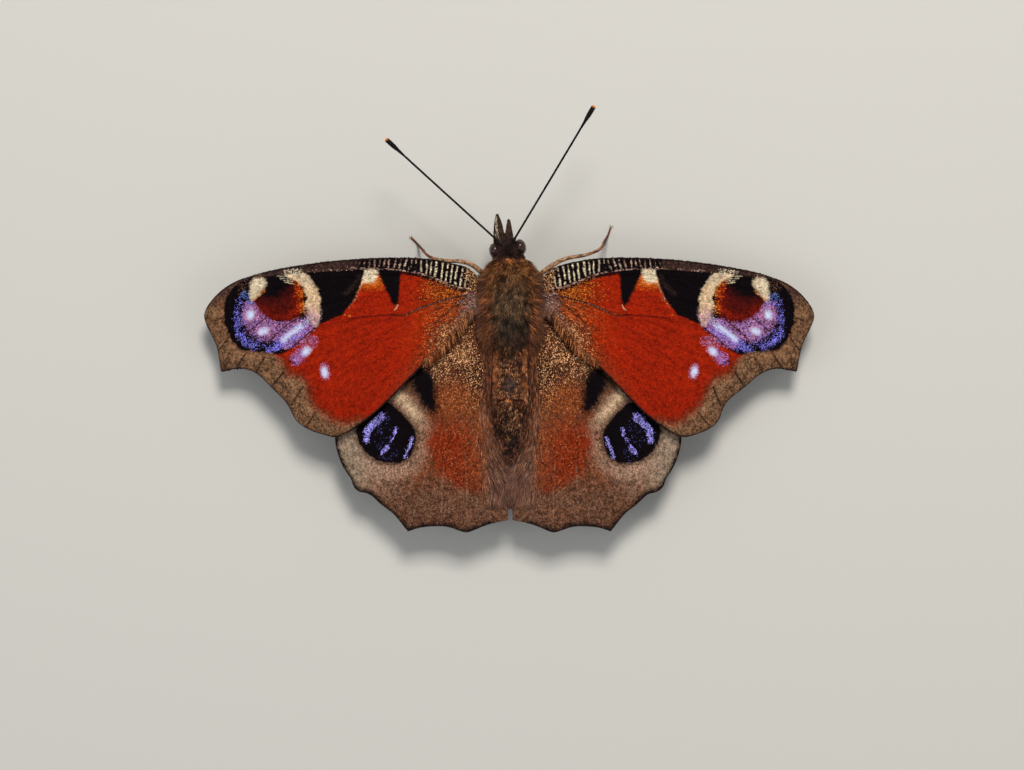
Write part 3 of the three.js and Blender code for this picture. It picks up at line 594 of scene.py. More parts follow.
def lay_costa(m, x, y, edge_depth):
    """The front edge: barred black and straw near the body, plain dark brown beyond."""
    deep = depth_inside(x, y, np.vstack([smooth_line(COSTA_LOWER, steps=5), BEYOND_COSTA]))
    on_costa = slope(deep, -0.05, 0.05)
    m.lay("costa", on_costa, 0.4, 0.6)
    m.lay("edge", 0.35 * on_costa * slope(edge_depth, 0.9, 0.2))
    barred = on_costa * slope(x, BARS_FROM, BARS_FROM + 0.2)
    barred = barred * slope(x + 0.4 * m.rough, BARS_TO + 0.2, BARS_TO - 0.5)
    m.lay("black", 0.97 * barred, 0.2)
    phase = (x + 0.15 * (y - 5)) / BAR_PITCH + 0.3 * mottle(x, y * 0.5, 0.75, 11)
    away = BAR_PITCH * np.abs(phase - np.round(phase))
    half = 0.07 + 0.045 * mottle(x, y, 0.3, 12) - 0.035 * slope(deep, 0.6, 1.6) - 0.015 * slope(x, 8, 11)
    bar = slope(away - half, 0.04, -0.02) * slope(deep, 0.2, 0.3) * slope(edge_depth, 0.1, 0.2)
    whole = slope(mottle(x, y, 0.26, 14), -0.65, -0.3) * slope(x + 3 * mottle(x, y, 0.3, 15), 17, 13)
    m.lay("rose", 0.7 * barred * bar * whole, 0.5, 0.3)
    m.lay("straw", 0.8 * barred * bar * whole * slope(x + m.rough, 11, 7.5) * slope(x, 3.4, 5.6), 0.6, 0.3)
    m.lay("umber", 0.8 * on_costa * slope(x, 4.3, 3.9))
    m.lay("gold", 0.26 * on_costa * slope(x, 4.6, 3.9), 1)
    inner = slope(x, 3.4, 4.0)
    m.lay("black", 0.94 * slope(np.abs(deep + 0.13), 0.2, 0.1) * inner * slope(x, 13.4, 12.6), 0.4)
    m.lay("tan", 0.2 * slope(np.abs(deep + 0.1), 0.2, 0.1) * inner * slope(x, 9.4, 7.0), 1)
    beads = slope(mottle(x, y, 0.16, 13), -0.3, 0.2)
    hem = slope(np.abs(deep - 0.08), 0.09, 0.04)
    m.lay("rose", 0.75 * hem * inner * beads * slope(x, 16, 13.5), 0.3)
    wide_hem = slope(np.abs(deep - 0.1), 0.2, 0.04)
    m.lay("rose", 0.12 * wide_hem * slope(x, 20.4, 18.5) * slope(x, 13.5, 15), 1)
    ring_top = [(22.5, 4.8), (22.0, 5.2), (21.4, 5.3), (21.0, 5.0), (21.0, 4.6), (22, 4.6)]
    m.lay("chalk", 0.55 * m.field(ring_top, 0.7, 0.25) * slope(edge_depth, 0.12, 0.4), 0.9)
    m.lay("stone", 0.5 * m.spot((25.1, 4.4), (0.6, 0.3), 20, 0.4), 0.8)


def distance_from_margin(x, y):
    """How far a place lies out on the brown margin, negative inside it."""
    return depth_inside(x, y, np.vstack([smooth_line(MARGIN_LINE, steps=5), BEYOND_MARGIN]))


def lay_margin(m, x, y, edge_depth):
    """The brown outer margin, golden on its inner side and darker towards the tip, with dark veins."""
    deep = distance_from_margin(x, y)
    beside_red = slope(y, -3.3, -3.9)
    m.lay("ember", 0.75 * beside_red * slope(np.abs(deep + 0.2 - 0.15 * m.streak), 0.75, 0.1), 0.6)
    outer = np.clip(0.5 + (deep + 0.1 * m.streak) / (0.2 + 0.5 * beside_red), 0, 1)
    m.lay("margin", outer, 0.4, 0.38)
    m.lay("margin_light", 0.34 * outer * slope(m.ray, -0.2, 0.5) * slope(deep, 2.4, 0.4), 0.8, 0.3)
    m.lay("margin_dark", (0.1 + 0.5 * slope(edge_depth + 0.4 * m.rough, 1.3, 0.2)) * outer, 0.8, 0.3)
    m.lay("rust", 0.16 * outer * slope(deep, 0.9, 0), 0.8)
    m.lay("costa", 0.8 * outer * slope(y + 0.4 * m.streak, 0.9, 2.9), 0.6)
    for vein in MARGIN_VEINS:
        m.lay("edge", 0.9 * slope(deep, -0.1, 0.3) * m.line(vein, 0.16, 0.1), 0.3)


def fore_upper(x, y, edge_depth, seed):
    """The upper side of a fore wing."""
    m = Markings(x, y, FORE_HUB, seed)
    m.lay("red", 1, 0.4, 0.16)
    m.lay("deep_red", np.clip(0.16 + 0.4 * m.streak + 0.3 * m.ray, 0, 0.7), 0.6, 0.16)
    # painted shade: the red field darkens towards its lower outer part
    m.lay("deep_red", 0.5 * slope(y + 0.4 * m.streak, -6.5, -10) * slope(x, 12, 16))
    for vein in fore_vein_lines[5:]:
        m.lay("deep_red", 0.4 * m.line(vein[::6], 0.1, 0.12))
    lay_base(m, x, y)
    lay_dark_marks(m)
    lay_eye_ground(m)
    lay_eye_heart(m)
    lay_costa(m, x, y, edge_depth)
    lay_margin(m, x, y, edge_depth)
    lay_red_spots(m)
    m.lay("maroon", 0.85 * m.line(STEM[4:], 0.1, 0.08) * slope(x, 16.6, 15.6), 0.3)
    m.lay("amber", 0.3 * m.line([(15.9, 0.4), (16.4, 0.55)], 0.14, 0.1), 1)
    m.lay("umber", 0.9 * m.line(STEM[:6], 0.2, 0.12) * slope(x, 12.6, 9.6), 0.3)
    # painted highlight: a thin greyish lilac line along the crest of the stem vein
    m.lay("lilac", 0.35 * m.line(STEM[1:5], 0.07, 0.08), 0.9)
    m.lay("edge", slope(edge_depth, 0.26, 0.08) * slope(x, 4, 6), 0.2)
    return m.tint


HIND_EYE = [
    (15.35, -11.0), (15.05, -12.2), (14.16, -13.4), (13.29, -13.95), (12.29, -14.2), (11.29, -14.22),
    (10.5, -13.95), (9.9, -13.35), (9.5, -12.5), (9.34, -11.5), (9.6, -10.7), (10.5, -9.5), (11.2, -8.85),
    (12.1, -8.1), (13.6, -8.2), (14.9, -9.5),
]


def hind_upper(x, y, edge_depth, seed):
    """The upper side of a hind wing."""
    m = Markings(x, y, HIND_HUB, seed)
    m.lay("brown", 1, 0.4, 0.3)
    m.lay("rust", np.clip(0.4 + 0.4 * m.streak, 0, 0.8), 0.7, 0.3)
    rear = slope(y - 0.4 * m.streak, -14.6, -17.4)
    m.lay("rear", 0.85 * rear, 0.5, 0.34)
    m.lay("stone", 0.2 * rear * slope(m.ray, -0.2, 0.5), 0.9)
    m.lay("umber", 0.22 * rear + 0.25 * rear * slope(edge_depth + 0.3 * m.rough, 1.6, 0.3), 0.7)
    around = depth_inside(x, y, smooth_line(HIND_EYE, closed=True, steps=5))
    outer = slope(x, 9.5, 13.0) * slope(y, -18.2, -15.5)
    m.lay("stone", 0.85 * outer, 0.5, 0.34)
    ring = slope(np.abs(around + 0.65), 1.5, 0.4) * slope(y, -4.5, -9)
    m.lay("stone", 0.75 * ring, 0.6, 0.34)
    m.lay("rose", 0.12 * ring * slope(x, 9, 12), 0.7)
    m.lay("olive", 0.75 * outer * slope(x, 13.4, 15.4), 0.5, 0.26)
    m.lay("margin_dark", 0.6 * slope(np.abs(around + 0.12), 0.36, 0.05))
    base = slope(y - 0.7 * m.streak, -9.2, -6.2) * slope(x, 9.2, 8.0)
    m.lay("brown", 0.6 * base)
    m.lay("umber", 0.44 * base, 0.9)
    inner_dark = m.spot((3.6, -6.0), (0.95, 2.3), 8, 0.7)
    m.lay("umber", 0.75 * inner_dark, 0.7)
    dusted = 0.4 * base * slope(y, -7.4, -3.8) * slope(y, 0.5, -3.5) * slope(m.rough, -1.2, 0.2)
    m.lay("gold", dusted * (1 - 0.75 * inner_dark) * slope(x, 2.2, 4.4), 1, 0.4)
    m.lay("gold", 0.17 * inner_dark, 1, 0.3)
    m.lay("rust", 0.6 * m.spot((5.9, -7.8), (2.4, 1.7), 0, 1.5), 0.6, 0.3)
    m.lay("tan", 0.1 * m.spot((5.4, -7.6), (2.6, 1.8), 0, 1.2), 1)
    flushed = 0.9 * m.field(
        [(6.3, -9.6), (7.2, -9.8), (7.98, -10.9), (8.3, -11.9), (7.9, -13.2), (7.3, -14.6), (6.2, -16.0),
         (4.6, -16.7), (3.4, -16.9), (2.7, -15.6), (2.6, -13.3), (3.1, -11.2), (4.4, -9.9)], 1.0, 0.25)
    m.lay("flush", flushed * slope(y + 0.3 * m.streak, -8.6, -12), 0.6, 0.3)
    inner_part = slope(x + 0.5 * m.streak, 5.3, 3.1) * slope(y, -9.0, -10.5) * slope(y, -17.6, -16.4)
    m.lay("rust", 0.5 * inner_part, 0.6, 0.3)
    m.lay("brown", 0.4 * inner_part, 0.7, 0.4)
    m.lay("tan", 0.04 * m.spot((5.3, -13), (2.4, 3.6), 0, 1.2), 0.8)
    streaky = m.line([(3.4, -8.6), (3.1, -11.0), (2.75, -13.5), (2.2, -17.0)], 0.9, 0.5)
    m.lay("tan", 0.3 * streaky * slope(m.ray, 0.0, 0.5) * slope(y, -17.5, -14), 0.9)
    m.lay("rear", 0.7 * slope(x + 0.3 * m.streak, 2.7, 1.9) * slope(y, -8, -10), 0.7, 0.4)
    m.lay("stone", 0.4 * m.line([(9.9, -5.2), (9.5, -7.2), (8.7, -8.8)], 0.9, 0.7))
    m.lay("margin_dark", 0.8 * m.spot((9.8, -6.0), (0.75, 1.3), 30, 0.8))
    comma = [(9.1, -4.6), (9.95, -5.8), (9.5, -7.1), (8.55, -8.8), (7.3, -9.1), (7.3, -6.9), (7.85, -5.1)]
    m.lay("black", m.field(comma, 0.85, 0.2), 0.4)
    fade = slope(y, -11.2, -9.2)
    beside_eye = m.line([(11.7, -6.9), (10.6, -7.9), (9.7, -9.0), (9.0, -10.3)], 1.25, 0.8, 0.08)
    m.lay("stone", 0.9 * beside_eye * fade)
    palest = m.line([(11.5, -7.1), (10.65, -7.9), (9.8, -8.9), (9.2, -9.7)], 0.6, 0.8, 0.08)
    m.lay("cream", 0.95 * palest * fade)
    m.lay("black", m.field(HIND_EYE, 0.2, 0.05), 0.3)
    for path, width, chance in (
        ([(12.75, -9.55), (13.4, -10.1), (14.15, -10.95), (14.3, -11.95)], 0.66, 0.7),
        ([(11.35, -10.85), (11.5, -11.3)], 0.26, 0.95),
        ([(11.75, -11.75), (11.9, -12.0)], 0.1, 0.7),
        ([(12.2, -12.65), (12.65, -13.15)], 0.36, 0.8),
        ([(9.75, -11.75), (10.0, -12.5), (10.5, -13.65)], 0.26, 0.85),
    ):
        m.lay("periwinkle", chance * m.line(path, width, 0.26, 0.08), 1, 0.3)
    m.lay("dim_violet", 0.07 * m.line([(12.9, -10.0), (12.7, -11.6), (12.2, -13.2)], 1.8, 0.6), 1, 0.4)
    for vein in hind_vein_lines:
        m.lay("stone", 0.35 * m.line(vein[::6], 0.08, 0.08) * slope(y, -13, -15) * (around < -0.1), 0.6)
    # the hind wing's own dark edge line, widened with painted shadow along the outer margin
    m.lay("edge", slope(edge_depth + 0.1 * m.rough, 0.6, 0.2) * slope(y, -8, -12) * slope(x, 0.5, 2), 0.4)
    return m.tint


def under_side(x, y, edge_depth, seed, hub):
    """The under side of any wing: soot, crossed by fine dark lines, lighter beyond the middle."""
    m = Markings(x, y, hub, seed)
    reach = np.hypot(x - hub[0], y - hub[1])
    m.lay("soot", 1, 1, 0.2)
    wave = np.sin(reach * 5.5 + 2.2 * mottle(x, y, 1.4, 21))
    m.lay("ash", np.clip(0.3 * wave, 0, 0.3), 1)
    m.lay("ash", 0.4 * slope(reach + 0.8 * mottle(x, y, 2.5, 22), 17, 19.5), 1)
    m.lay("black", 0.85 * slope(np.abs(reach - 16.5 - 1.2 * mottle(x, y, 3, 23)), 0.35, 0), 1)
    m.lay("black", slope(edge_depth, 0.4, 0))
    return m.tint


def fore_under(x, y, edge_depth, seed):
    """The under side of a fore wing."""
    return under_side(x, y, edge_depth, seed, FORE_HUB)


def hind_under(x, y, edge_depth, seed):
    """The under side of a hind wing."""
    return under_side(x, y, edge_depth, seed, HIND_HUB)


# Scales of the wings
# Thousands of flat chitin scales overlap like roof tiles in rows across each wing, their free ends
# pointing outwards. Long narrow ones stand out from the outer margins as a fringe.
PATCH = 0.003             # size of a scale's place on the wing's flat map
SCALE_SIZES = (0.85, 1.12)
SCALE_LIFTS = (0.008, 0.035)     # over the film, at root and tip
SCALE_HALVES = (0.4, 0.5)        # half width at root and tip, for each width
LEAN = 0.12               # how far a scale turns from its lie, in radians
FRINGE_PITCH = 0.045
FRINGE_REACHES = (-0.3, 0.03)    # root and tip of a fringe scale, outwards from the edge
FRINGE_LIFTS = (-0.03, -0.045)
FRINGE_HALVES = (0.03, 0.018)
# face, which way it faces, row, pitch, length and width of the scales
FACES = (("upper", 1, 0.07, 0.056, 0.15, 0.08), ("lower", -1, 0.14, 0.12, 0.26, 0.16))
Wing = namedtuple("Wing", "side hub edge rise veins")
scale_material = painted_material("wing_scales", 0.72, 0.04)


def coat_piece(name, points, corners, sizes, tint, flat, material):
    """Many small forms as one mesh, given by their points in mm, the points at their faces' corners, and
    each face's count of corners. Each point has a colour and a place on the flat map."""
    mesh = bpy.data.meshes.new(name)
    mesh.vertices.add(len(points))
    mesh.vertices.foreach_set("co", (points * MM).ravel())
    mesh.loops.add(len(corners))
    mesh.loops.foreach_set("vertex_index", corners.astype(np.int32))
    mesh.polygons.add(len(sizes))
    mesh.polygons.foreach_set("loop_start", (np.cumsum(sizes) - sizes).astype(np.int32))
    mesh.update(calc_edges=True)
    paint_mesh(mesh, tint)
    layer = mesh.uv_layers.new(name="OFBake")
    layer.data.foreach_set("uv", flat[corners].ravel())
    mesh.materials.append(material)
    obj = bpy.data.objects.new(name, mesh)
    scene.collection.objects.link(obj)
    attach(obj, "root")
    return obj


def blades(name, spine, half_width, across, tint, patch):
    """Many flat blades as one mesh: each has a spine of points, a half width at each and one colour."""
    count, stations, _ = spine.shape
    reach = across[:, None, :] * half_width[:, :, None]
    points = np.stack([spine - reach, spine + reach], axis=2).reshape(-1, 3)
    first = (np.arange(count) * 2 * stations)[:, None, None]
    corners = (first + np.arange(stations - 1)[None, :, None] * 2 + np.array([0, 1, 3, 2])).reshape(-1)
    place = np.array([[s, t] for t in np.linspace(-0.5, 0.5, stations) for s in (-0.5, 0.5)])
    flat = (patch[:, None, :] + place[None] * PATCH).reshape(-1, 2)
    sizes = np.full(len(corners) // 4, 4)
    tint = np.repeat(tint, 2 * stations, axis=0)
    return coat_piece(name, points, corners, sizes, tint, flat, scale_material)


def wing_patch(places, edge):
    """Places on a wing's flat map, which is the wing seen from above."""
    return (places - edge.min(axis=0)) / np.ptp(edge, axis=0).max() * 0.98 + 0.01


def lay_blades(name, wing, facing, places, lie, dice, reaches, size, lifts, halves, tint):
    """Flat blades on one face of a wing, each from one reach to another along its lie."""
    count = len(places)
    turn = dice.normal(0, LEAN, count)
    lie = columns(lie[:, 0] * np.cos(turn) - lie[:, 1] * np.sin(turn),
                  lie[:, 0] * np.sin(turn) + lie[:, 1] * np.cos(turn))
    spine = np.zeros((count, 2, 3))
    for k in range(2):
        x, y = (places + lie * (reaches[k] * size)[:, None]).T
        over_film = vein_ridge(x, y, wing.veins) + FILM / 2 + lifts[k] * dice.uniform(0.5, 1.5, count)
        spine[:, k] = columns(wing.side * x + BODY_AXIS, y, wing.rise(x, y) + facing * over_film)
    half = np.array(halves)[None] * dice.uniform(0.9, 1.1, count)[:, None]
    across = columns(facing * lie[:, 1], -facing * wing.side * lie[:, 0], 0)
    return blades(name, spine, half, across, tint, wing_patch(places, wing.edge))


def rows_of_places(wing, row, pitch, length, dice):
    """Places in rows round a wing's hub, each row an arc, from which a scale ends within the wing's edge."""
    hub, edge = wing.hub, wing.edge
    far = np.hypot(edge[:, 0] - hub[0], edge[:, 1] - hub[1])
    angles = np.arctan2(edge[:, 1] - hub[1], edge[:, 0] - hub[0])
    places = []
    for k, radius in enumerate(np.arange(max(far.min() - row, 1), far.max(), row)):
        step = pitch / radius
        arc = np.arange(angles.min() - step * (k % 2) / 2, angles.max(), step)
        arc = arc + dice.uniform(-0.25, 0.25, len(arc)) * step
        wobble = radius + dice.uniform(-0.3, 0.3, len(arc)) * row
        places.append(columns(hub[0] + wobble * np.cos(arc), hub[1] + wobble * np.sin(arc)))
    places = np.vstack(places)
    places = places[np.all((places > edge.min(axis=0)) & (places < edge.max(axis=0)), axis=1)]
    depth = depth_inside(places[:, 0], places[:, 1], edge)
    tips = places + unit(places - hub) * length
    deep = depth > 2 * length
    deep[~deep] = depth_inside(tips[~deep, 0], tips[~deep, 1], edge) > 0.01
    keep = (depth > 0.02) & deep
    return places[keep], depth[keep]


def scale_coat(name, wing, facing, paint_of, shape, seed, row, pitch, length, width):
    """One face of a wing covered with scales. Facing is 1 for the upper face and -1 for the lower."""
    dice = np.random.default_rng(seed)
    places, depth = rows_of_places(wing, row, pitch, length, dice)
    tint = paint_of(*shape(*places.T), depth, seed)
    size = dice.uniform(*SCALE_SIZES, len(places))
    halves = [share * width for share in SCALE_HALVES]
    lie = unit(places - wing.hub)
    return lay_blades(name, wing, facing, places, lie, dice, (0, length), size, SCALE_LIFTS, halves, tint)


def fringe(name, wing, seed):
    """Long narrow dark scales that stand out from the outer margin."""
    dice = np.random.default_rng(seed)
    edge = wing.edge
    forward = np.roll(edge, -1, axis=0) - edge
    travel = np.concatenate([[0], np.cumsum(np.linalg.norm(forward, axis=1))])
    share = np.arange(0, travel[-1], FRINGE_PITCH)
    whole = np.vstack([edge, edge[:1]])
    places, ahead = (columns(*(np.interp(spot, travel, whole[:, k]) for k in range(2)))
                     for spot in (share, share + 0.1))
    heading = unit(ahead - places)
    outward = columns(heading[:, 1], -heading[:, 0]) * turning(edge)
    lie = unit(places - wing.hub)
    open_edge = (np.sum(outward * lie, axis=1) > 0.35) & (places[:, 0] > 1.5)
    places, lie = places[open_edge], unit(outward + lie)[open_edge]
    count = len(places)
    hue = linear(PAINTS["edge"])[None] * dice.uniform(0.6, 2.2, count)[:, None]
    return lay_blades(name, wing, 1, places, lie, dice, FRINGE_REACHES, np.ones(count), FRINGE_LIFTS,
                      FRINGE_HALVES, hue)


def plain_shape(x, y):
    """The marking's own place on a left wing, whose pattern is the given one."""
    return x, y


def right_fore_shape(x, y):
    """The left fore wing's place that answers to one on the right, which is a trifle narrower."""
    middle = np.exp(-(((y + 8.6) / 2.2) ** 2)) * np.clip((x - 12) / 8, 0, 1)
    return WING_ROOT_X + (x + 0.7 * middle - WING_ROOT_X) / 0.991, y


def right_hind_shape(x, y):
    """The left hind wing's place that answers to one on the right, which is narrower."""
    return np.where(x > WING_ROOT_X, WING_ROOT_X + (x - WING_ROOT_X) / 0.97, x), y


# hub, height, veins, markings above and below, shape of the right wing, slot
WINGS = {
    "forewing": (FORE_HUB, fore_rise, fore_vein_lines, fore_upper, fore_under, right_fore_shape, "fore_wing"),
    "hindwing": (HIND_HUB, hind_rise, hind_vein_lines, hind_upper, hind_under, right_hind_shape, "hind_wing"),
}
wing_outlines = {}

for pair, (hub, rise, veins, upper, lower, right_shape, slot) in WINGS.items():
    for hand, side in SIDES.items():
        node = f"{pair}_{hand}"
        shape = right_shape if hand == "right" else plain_shape
        sheet, edge = wing_sheet(node, side, rise, veins)
        wing = Wing(side, hub, edge, rise, veins)
        wing_outlines[node] = edge
        lower_face = bmesh.ops.extrude_face_region(sheet, geom=sheet.faces[:])["geom"]
        lowered = [vert for vert in lower_face if isinstance(vert, bmesh.types.BMVert)]
        bmesh.ops.translate(sheet, verts=lowered, vec=(0, 0, -FILM * MM))
        bmesh.ops.recalc_face_normals(sheet, faces=sheet.faces[:])
        film = object_from(f"{node}_film", sheet, film_material)
        places = points_of(film)
        x, y = side * (places[:, 0] - BODY_AXIS), places[:, 1]
        paint_mesh(film.data, upper(*shape(x, y), depth_inside(x, y, edge), 3))
        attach(film, "root")
        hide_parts(node)
        for face, facing, *sizes in FACES:
            paint_of = upper if facing > 0 else lower
            coat = scale_coat(f"{node}_{face}_scales", wing, facing, paint_of, shape, 40 + side, *sizes)
        fringe(f"{node}_fringe", wing, 50 + side)


# Body
# The trunk, abdomen and head are one soft skin under the fur. Thorax and neck carry dense silky hair,
# the abdomen short hair that lies backwards, the head dark bristles. Eyes, palps and limbs are apart.
THORAX_RISE = 4.9
ABDOMEN_RISE = 4.7
ABDOMEN_FRONT, ABDOMEN_TIP = -2.85, -14.4
ABDOMEN_HALF = 2.05
ABDOMEN_DROOP = 0.5       # how far the tip lies under the waist
ABDOMEN_RINGS = 7
ABDOMEN_FLATNESS = 0.86   # its height for its width
COAT_DEPTH = 0.22         # from the skin of the abdomen to the tips of its hair
TRUNK_SIDES = 36
TRUNK_ROOTS = 66000
# place along the body, middle, height, half width and half height of the skin, from brow to waist
FRONT_STATIONS = [
    (8.0, -0.38, 4.6, 0.3, 0.35), (7.8, -0.35, 4.65, 0.75, 0.8), (7.4, -0.3, 4.72, 1.08, 1.08),
    (6.9, -0.22, 4.75, 1.22, 1.15), (6.4, -0.18, 4.75, 1.3, 1.12), (6.05, -0.14, 4.75, 1.34, 1.12),
    (5.75, -0.06, 4.8, 1.46, 1.3), (5.2, 0.02, 4.86, 1.98, 1.95), (4.5, 0.04, 4.9, 2.45, 2.35),
    (3.4, 0.04, 4.9, 2.62, 2.5), (1.2, 0.04, 4.9, 2.6, 2.5), (-0.8, 0.04, 4.85, 2.35, 2.25),
    (-2.2, 0.04, 4.75, 1.85, 1.75), (-2.85, 0.04, 4.7, 1.65, 1.5),
]
TRUNK_HUB = (0, 20)       # the streaks of the coat run back from here
PAINTS.update({
    "fur": (124, 77, 42), "fur_gold": (160, 106, 58), "fur_dark": (70, 38, 22), "fur_rust": (196, 114, 64),
    "fur_tan": (214, 150, 104), "moss": (112, 88, 62), "moss_dark": (74, 56, 42), "coal": (60, 32, 24),
    "slate": (88, 68, 62), "pitch": (40, 23, 18), "bristle": (80, 50, 38), "straw_hair": (206, 150, 118),
    "hair_lilac": (166, 124, 108), "hair_brown": (150, 94, 68), "hair_dark": (66, 40, 32),
})
# points of a tuft: three at its root, three half way up and its tip
TUFT_FACES = [(0, 3, 4, 1), (1, 4, 5, 2), (2, 5, 3, 0), (0, 1, 2), (3, 6, 4), (4, 6, 5), (5, 6, 3)]
# painted shade and light: each tuft's colour is darkened at its root, where the coat lies in shade, and
# lightened at its tip
TUFT_SHADE = np.array([0.4, 0.4, 0.4, 0.9, 0.9, 0.9, 1.35])
TUFT_MAP = np.array([(-1, -1), (1, -1), (0, -1), (-1, 0.3), (1, 0.3), (0, 0.3), (0, 1)]) * 0.5 * PATCH
fur_material = painted_material("fur", 0.75, 0.06, sheen=0.06)
skin_material = painted_material("fur_skin", 0.85, 0.05, grain=0.03)


def along_abdomen(y):
    """How far a place lies along the abdomen, 0 at the waist and 1 at the tip."""
    return (y - ABDOMEN_FRONT) / (ABDOMEN_TIP - ABDOMEN_FRONT)


def abdomen_half(y):
    """Half width of the abdomen's solid."""
    t = np.clip(along_abdomen(y), 0, 1)
    return ABDOMEN_HALF * (1 - t**3.2) ** 0.62 * (0.9 + 0.1 * np.sin(np.pi * t))


def ring_share(y):
    """How far a place lies along its ring of the abdomen, 0 at the ring's front."""
    return (along_abdomen(y) * ABDOMEN_RINGS) % 1


def trunk_rings():
    """Oval rings of the skin from brow to tip, pinched a little between the rings of the abdomen."""
    rows = list(FRONT_STATIONS)
    for y in np.arange(-3.5, ABDOMEN_TIP + 0.5, -0.5):
        half = max(abdomen_half(y) - COAT_DEPTH, 0.1)
        rise = ABDOMEN_RISE - ABDOMEN_DROOP * along_abdomen(y) * along_abdomen(y)
        rows.append((y, BODY_AXIS, rise, half, half * ABDOMEN_FLATNESS))
    for y, half_wide, half_high in ((-14.05, 0.3, 0.26), (-14.2, 0.06, 0.06)):
        rows.append((y, BODY_AXIS, ABDOMEN_RISE - ABDOMEN_DROOP, half_wide, half_high))
    line = smooth_line(rows, steps=3)
    rings = []
    for y, middle, rise, half_wide, half_high in line[np.argsort(-line[:, 0])]:
        swell = 1 - 0.04 * math.exp(-((ring_share(y) / 0.12) ** 2)) if y < ABDOMEN_FRONT else 1
        rings.append(((middle, y, rise), half_wide * swell, half_high * swell, (1, 0, 0), (0, 0, 1)))
    return rings


def loft(rings, sides):
    """A closed skin over a row of oval rings, each a centre, two half axes and its two directions."""
    bm = bmesh.new()
    loops = []
    for centre, half_wide, half_high, wide, high in rings:
        made = bmesh.ops.create_circle(bm, segments=sides, radius=1)["verts"]
        for vert in made:
            a, b = vert.co.x, vert.co.y
            vert.co = (Vector(centre) + Vector(wide) * a * half_wide + Vector(high) * b * half_high) * MM
        loops.append(list({edge for vert in made for edge in vert.link_edges}))
    for ahead, behind in zip(loops, loops[1:]):
        bmesh.ops.bridge_loops(bm, edges=ahead + behind)
    bmesh.ops.holes_fill(bm, edges=[edge for edge in bm.edges if edge.is_boundary], sides=0)
    bmesh.ops.recalc_face_normals(bm, faces=bm.faces[:])
    return bm


def trunk_patch(points):
    """Places on the trunk's flat map: round the body across it, and along the body up it."""
    around = np.arctan2(points[:, 2] - THORAX_RISE + 0.25, points[:, 0] - BODY_AXIS) / (2 * np.pi) + 0.5
    return columns(0.02 + 0.96 * around, 0.02 + 0.96 * (points[:, 1] + 15) / 24)


def beside_abdomen(x, y, end):
    """How surely a place lies on the rim of the rear half of the abdomen."""
    return slope(np.abs(x) - abdomen_half(y), -0.75, end) * slope(y, -7.0, -9.0)


def paint_thorax(m, y, z, side, top):
    """Rusty sides, a greenish middle and darker hair towards the waist and below."""
    m.lay("fur", 1, 0.4, 0.32)
    m.lay("fur_gold", 0.16 * slope(y, 2.0, 4.0) * top + 0.08, 0.8)
    m.lay("fur_dark", 0.26, 0.8)
    m.lay("fur_rust", 0.7 * slope(side + 0.5 * m.rough, 1.5, 2.3) * slope(y, 4.0, 3.0), 0.6)
    m.lay("fur_rust", 0.08 * slope(y, 4.9, 5.3) * top, 0.8)
    centre = m.spot((0, 1.3), (1.4, 2.9), 0, 1.4) * top
    m.lay("moss", 0.8 * centre, 0.4, 0.32)
    m.lay("moss_dark", 0.24 * centre + 0.75 * m.spot((0.1, -1.0), (1.4, 1.5), 0, 1.0) * top, 0.5)
    m.lay("pitch", 0.9 * m.spot((-0.5, 4.6), (0.2, 0.3), 0, 0.25))
    m.lay("fur_dark", 0.3 * slope(y, -0.8, -2.0), 0.7)
    m.lay("hair_dark", 0.8 * slope(z, 4.3, 3.6))


def paint_abdomen(m, x, y, side, top, abdomen):
    """Dark hair between rusty sides, one slate spot in a tan halo, and rows of tan dots behind it."""
    m.lay("coal", abdomen, 0.5, 0.16)
    m.lay("moss_dark", 0.55 * abdomen * slope(y, -5.6, -4.6))
    m.lay("fur_tan", 0.14 * abdomen * slope(np.abs(y + 4.9), 0.9, 0.2) * top, 0.9)
    band = slope(side + 0.2 * m.rough, 1.05, 1.35) * slope(y, -8.0, -5.8)
    m.lay("fur_rust", 0.8 * abdomen * band, 0.5)
    m.lay("straw_hair", 0.2 * abdomen * band, 0.9)
    m.lay("fur_rust", 0.14 * abdomen * top * slope(y, -11, -8), 0.8)
    rear = slope(y, -9, -11)
    wave = (-y + (0.4 + 0.8 * rear) * side) / 0.4
    dots = np.cos(2 * np.pi * wave) * np.cos(2 * np.pi * (x / 0.36 + 0.5 * np.floor(wave + 0.5)))
    dots += 0.7 * np.cos(2 * np.pi * wave) * rear
    rows = slope(ring_share(y), 0.05, 0.3)
    dotted = slope(dots + 0.5 * m.rough, 0.0, 0.8) * (0.25 + 0.35 * rows) * abdomen * top
    m.lay("fur_tan", dotted * slope(y, -6.8, -7.6) * slope(y, -14.2, -11.5), 0.8)
    m.lay("slate", 0.85 * m.spot((-0.1, -6.35), (0.7, 0.75), 0, 0.35) * top)
    halo = m.spot((-0.1, -6.35), (1.2, 1.25), 0, 0.4) * (1 - m.spot((-0.1, -6.35), (0.75, 0.8), 0, 0.2))
    m.lay("fur_tan", 0.5 * halo * top * slope(m.grit, -0.2, 0.4), 0.8)
    m.lay("pitch", 0.55 * abdomen * slope(y, -9.8, -12.2))
    rim = beside_abdomen(x, y, -0.3)
    m.lay("hair_brown", 0.6 * rim, 0.8)
    m.lay("hair_dark", 0.25 * rim, 0.8)


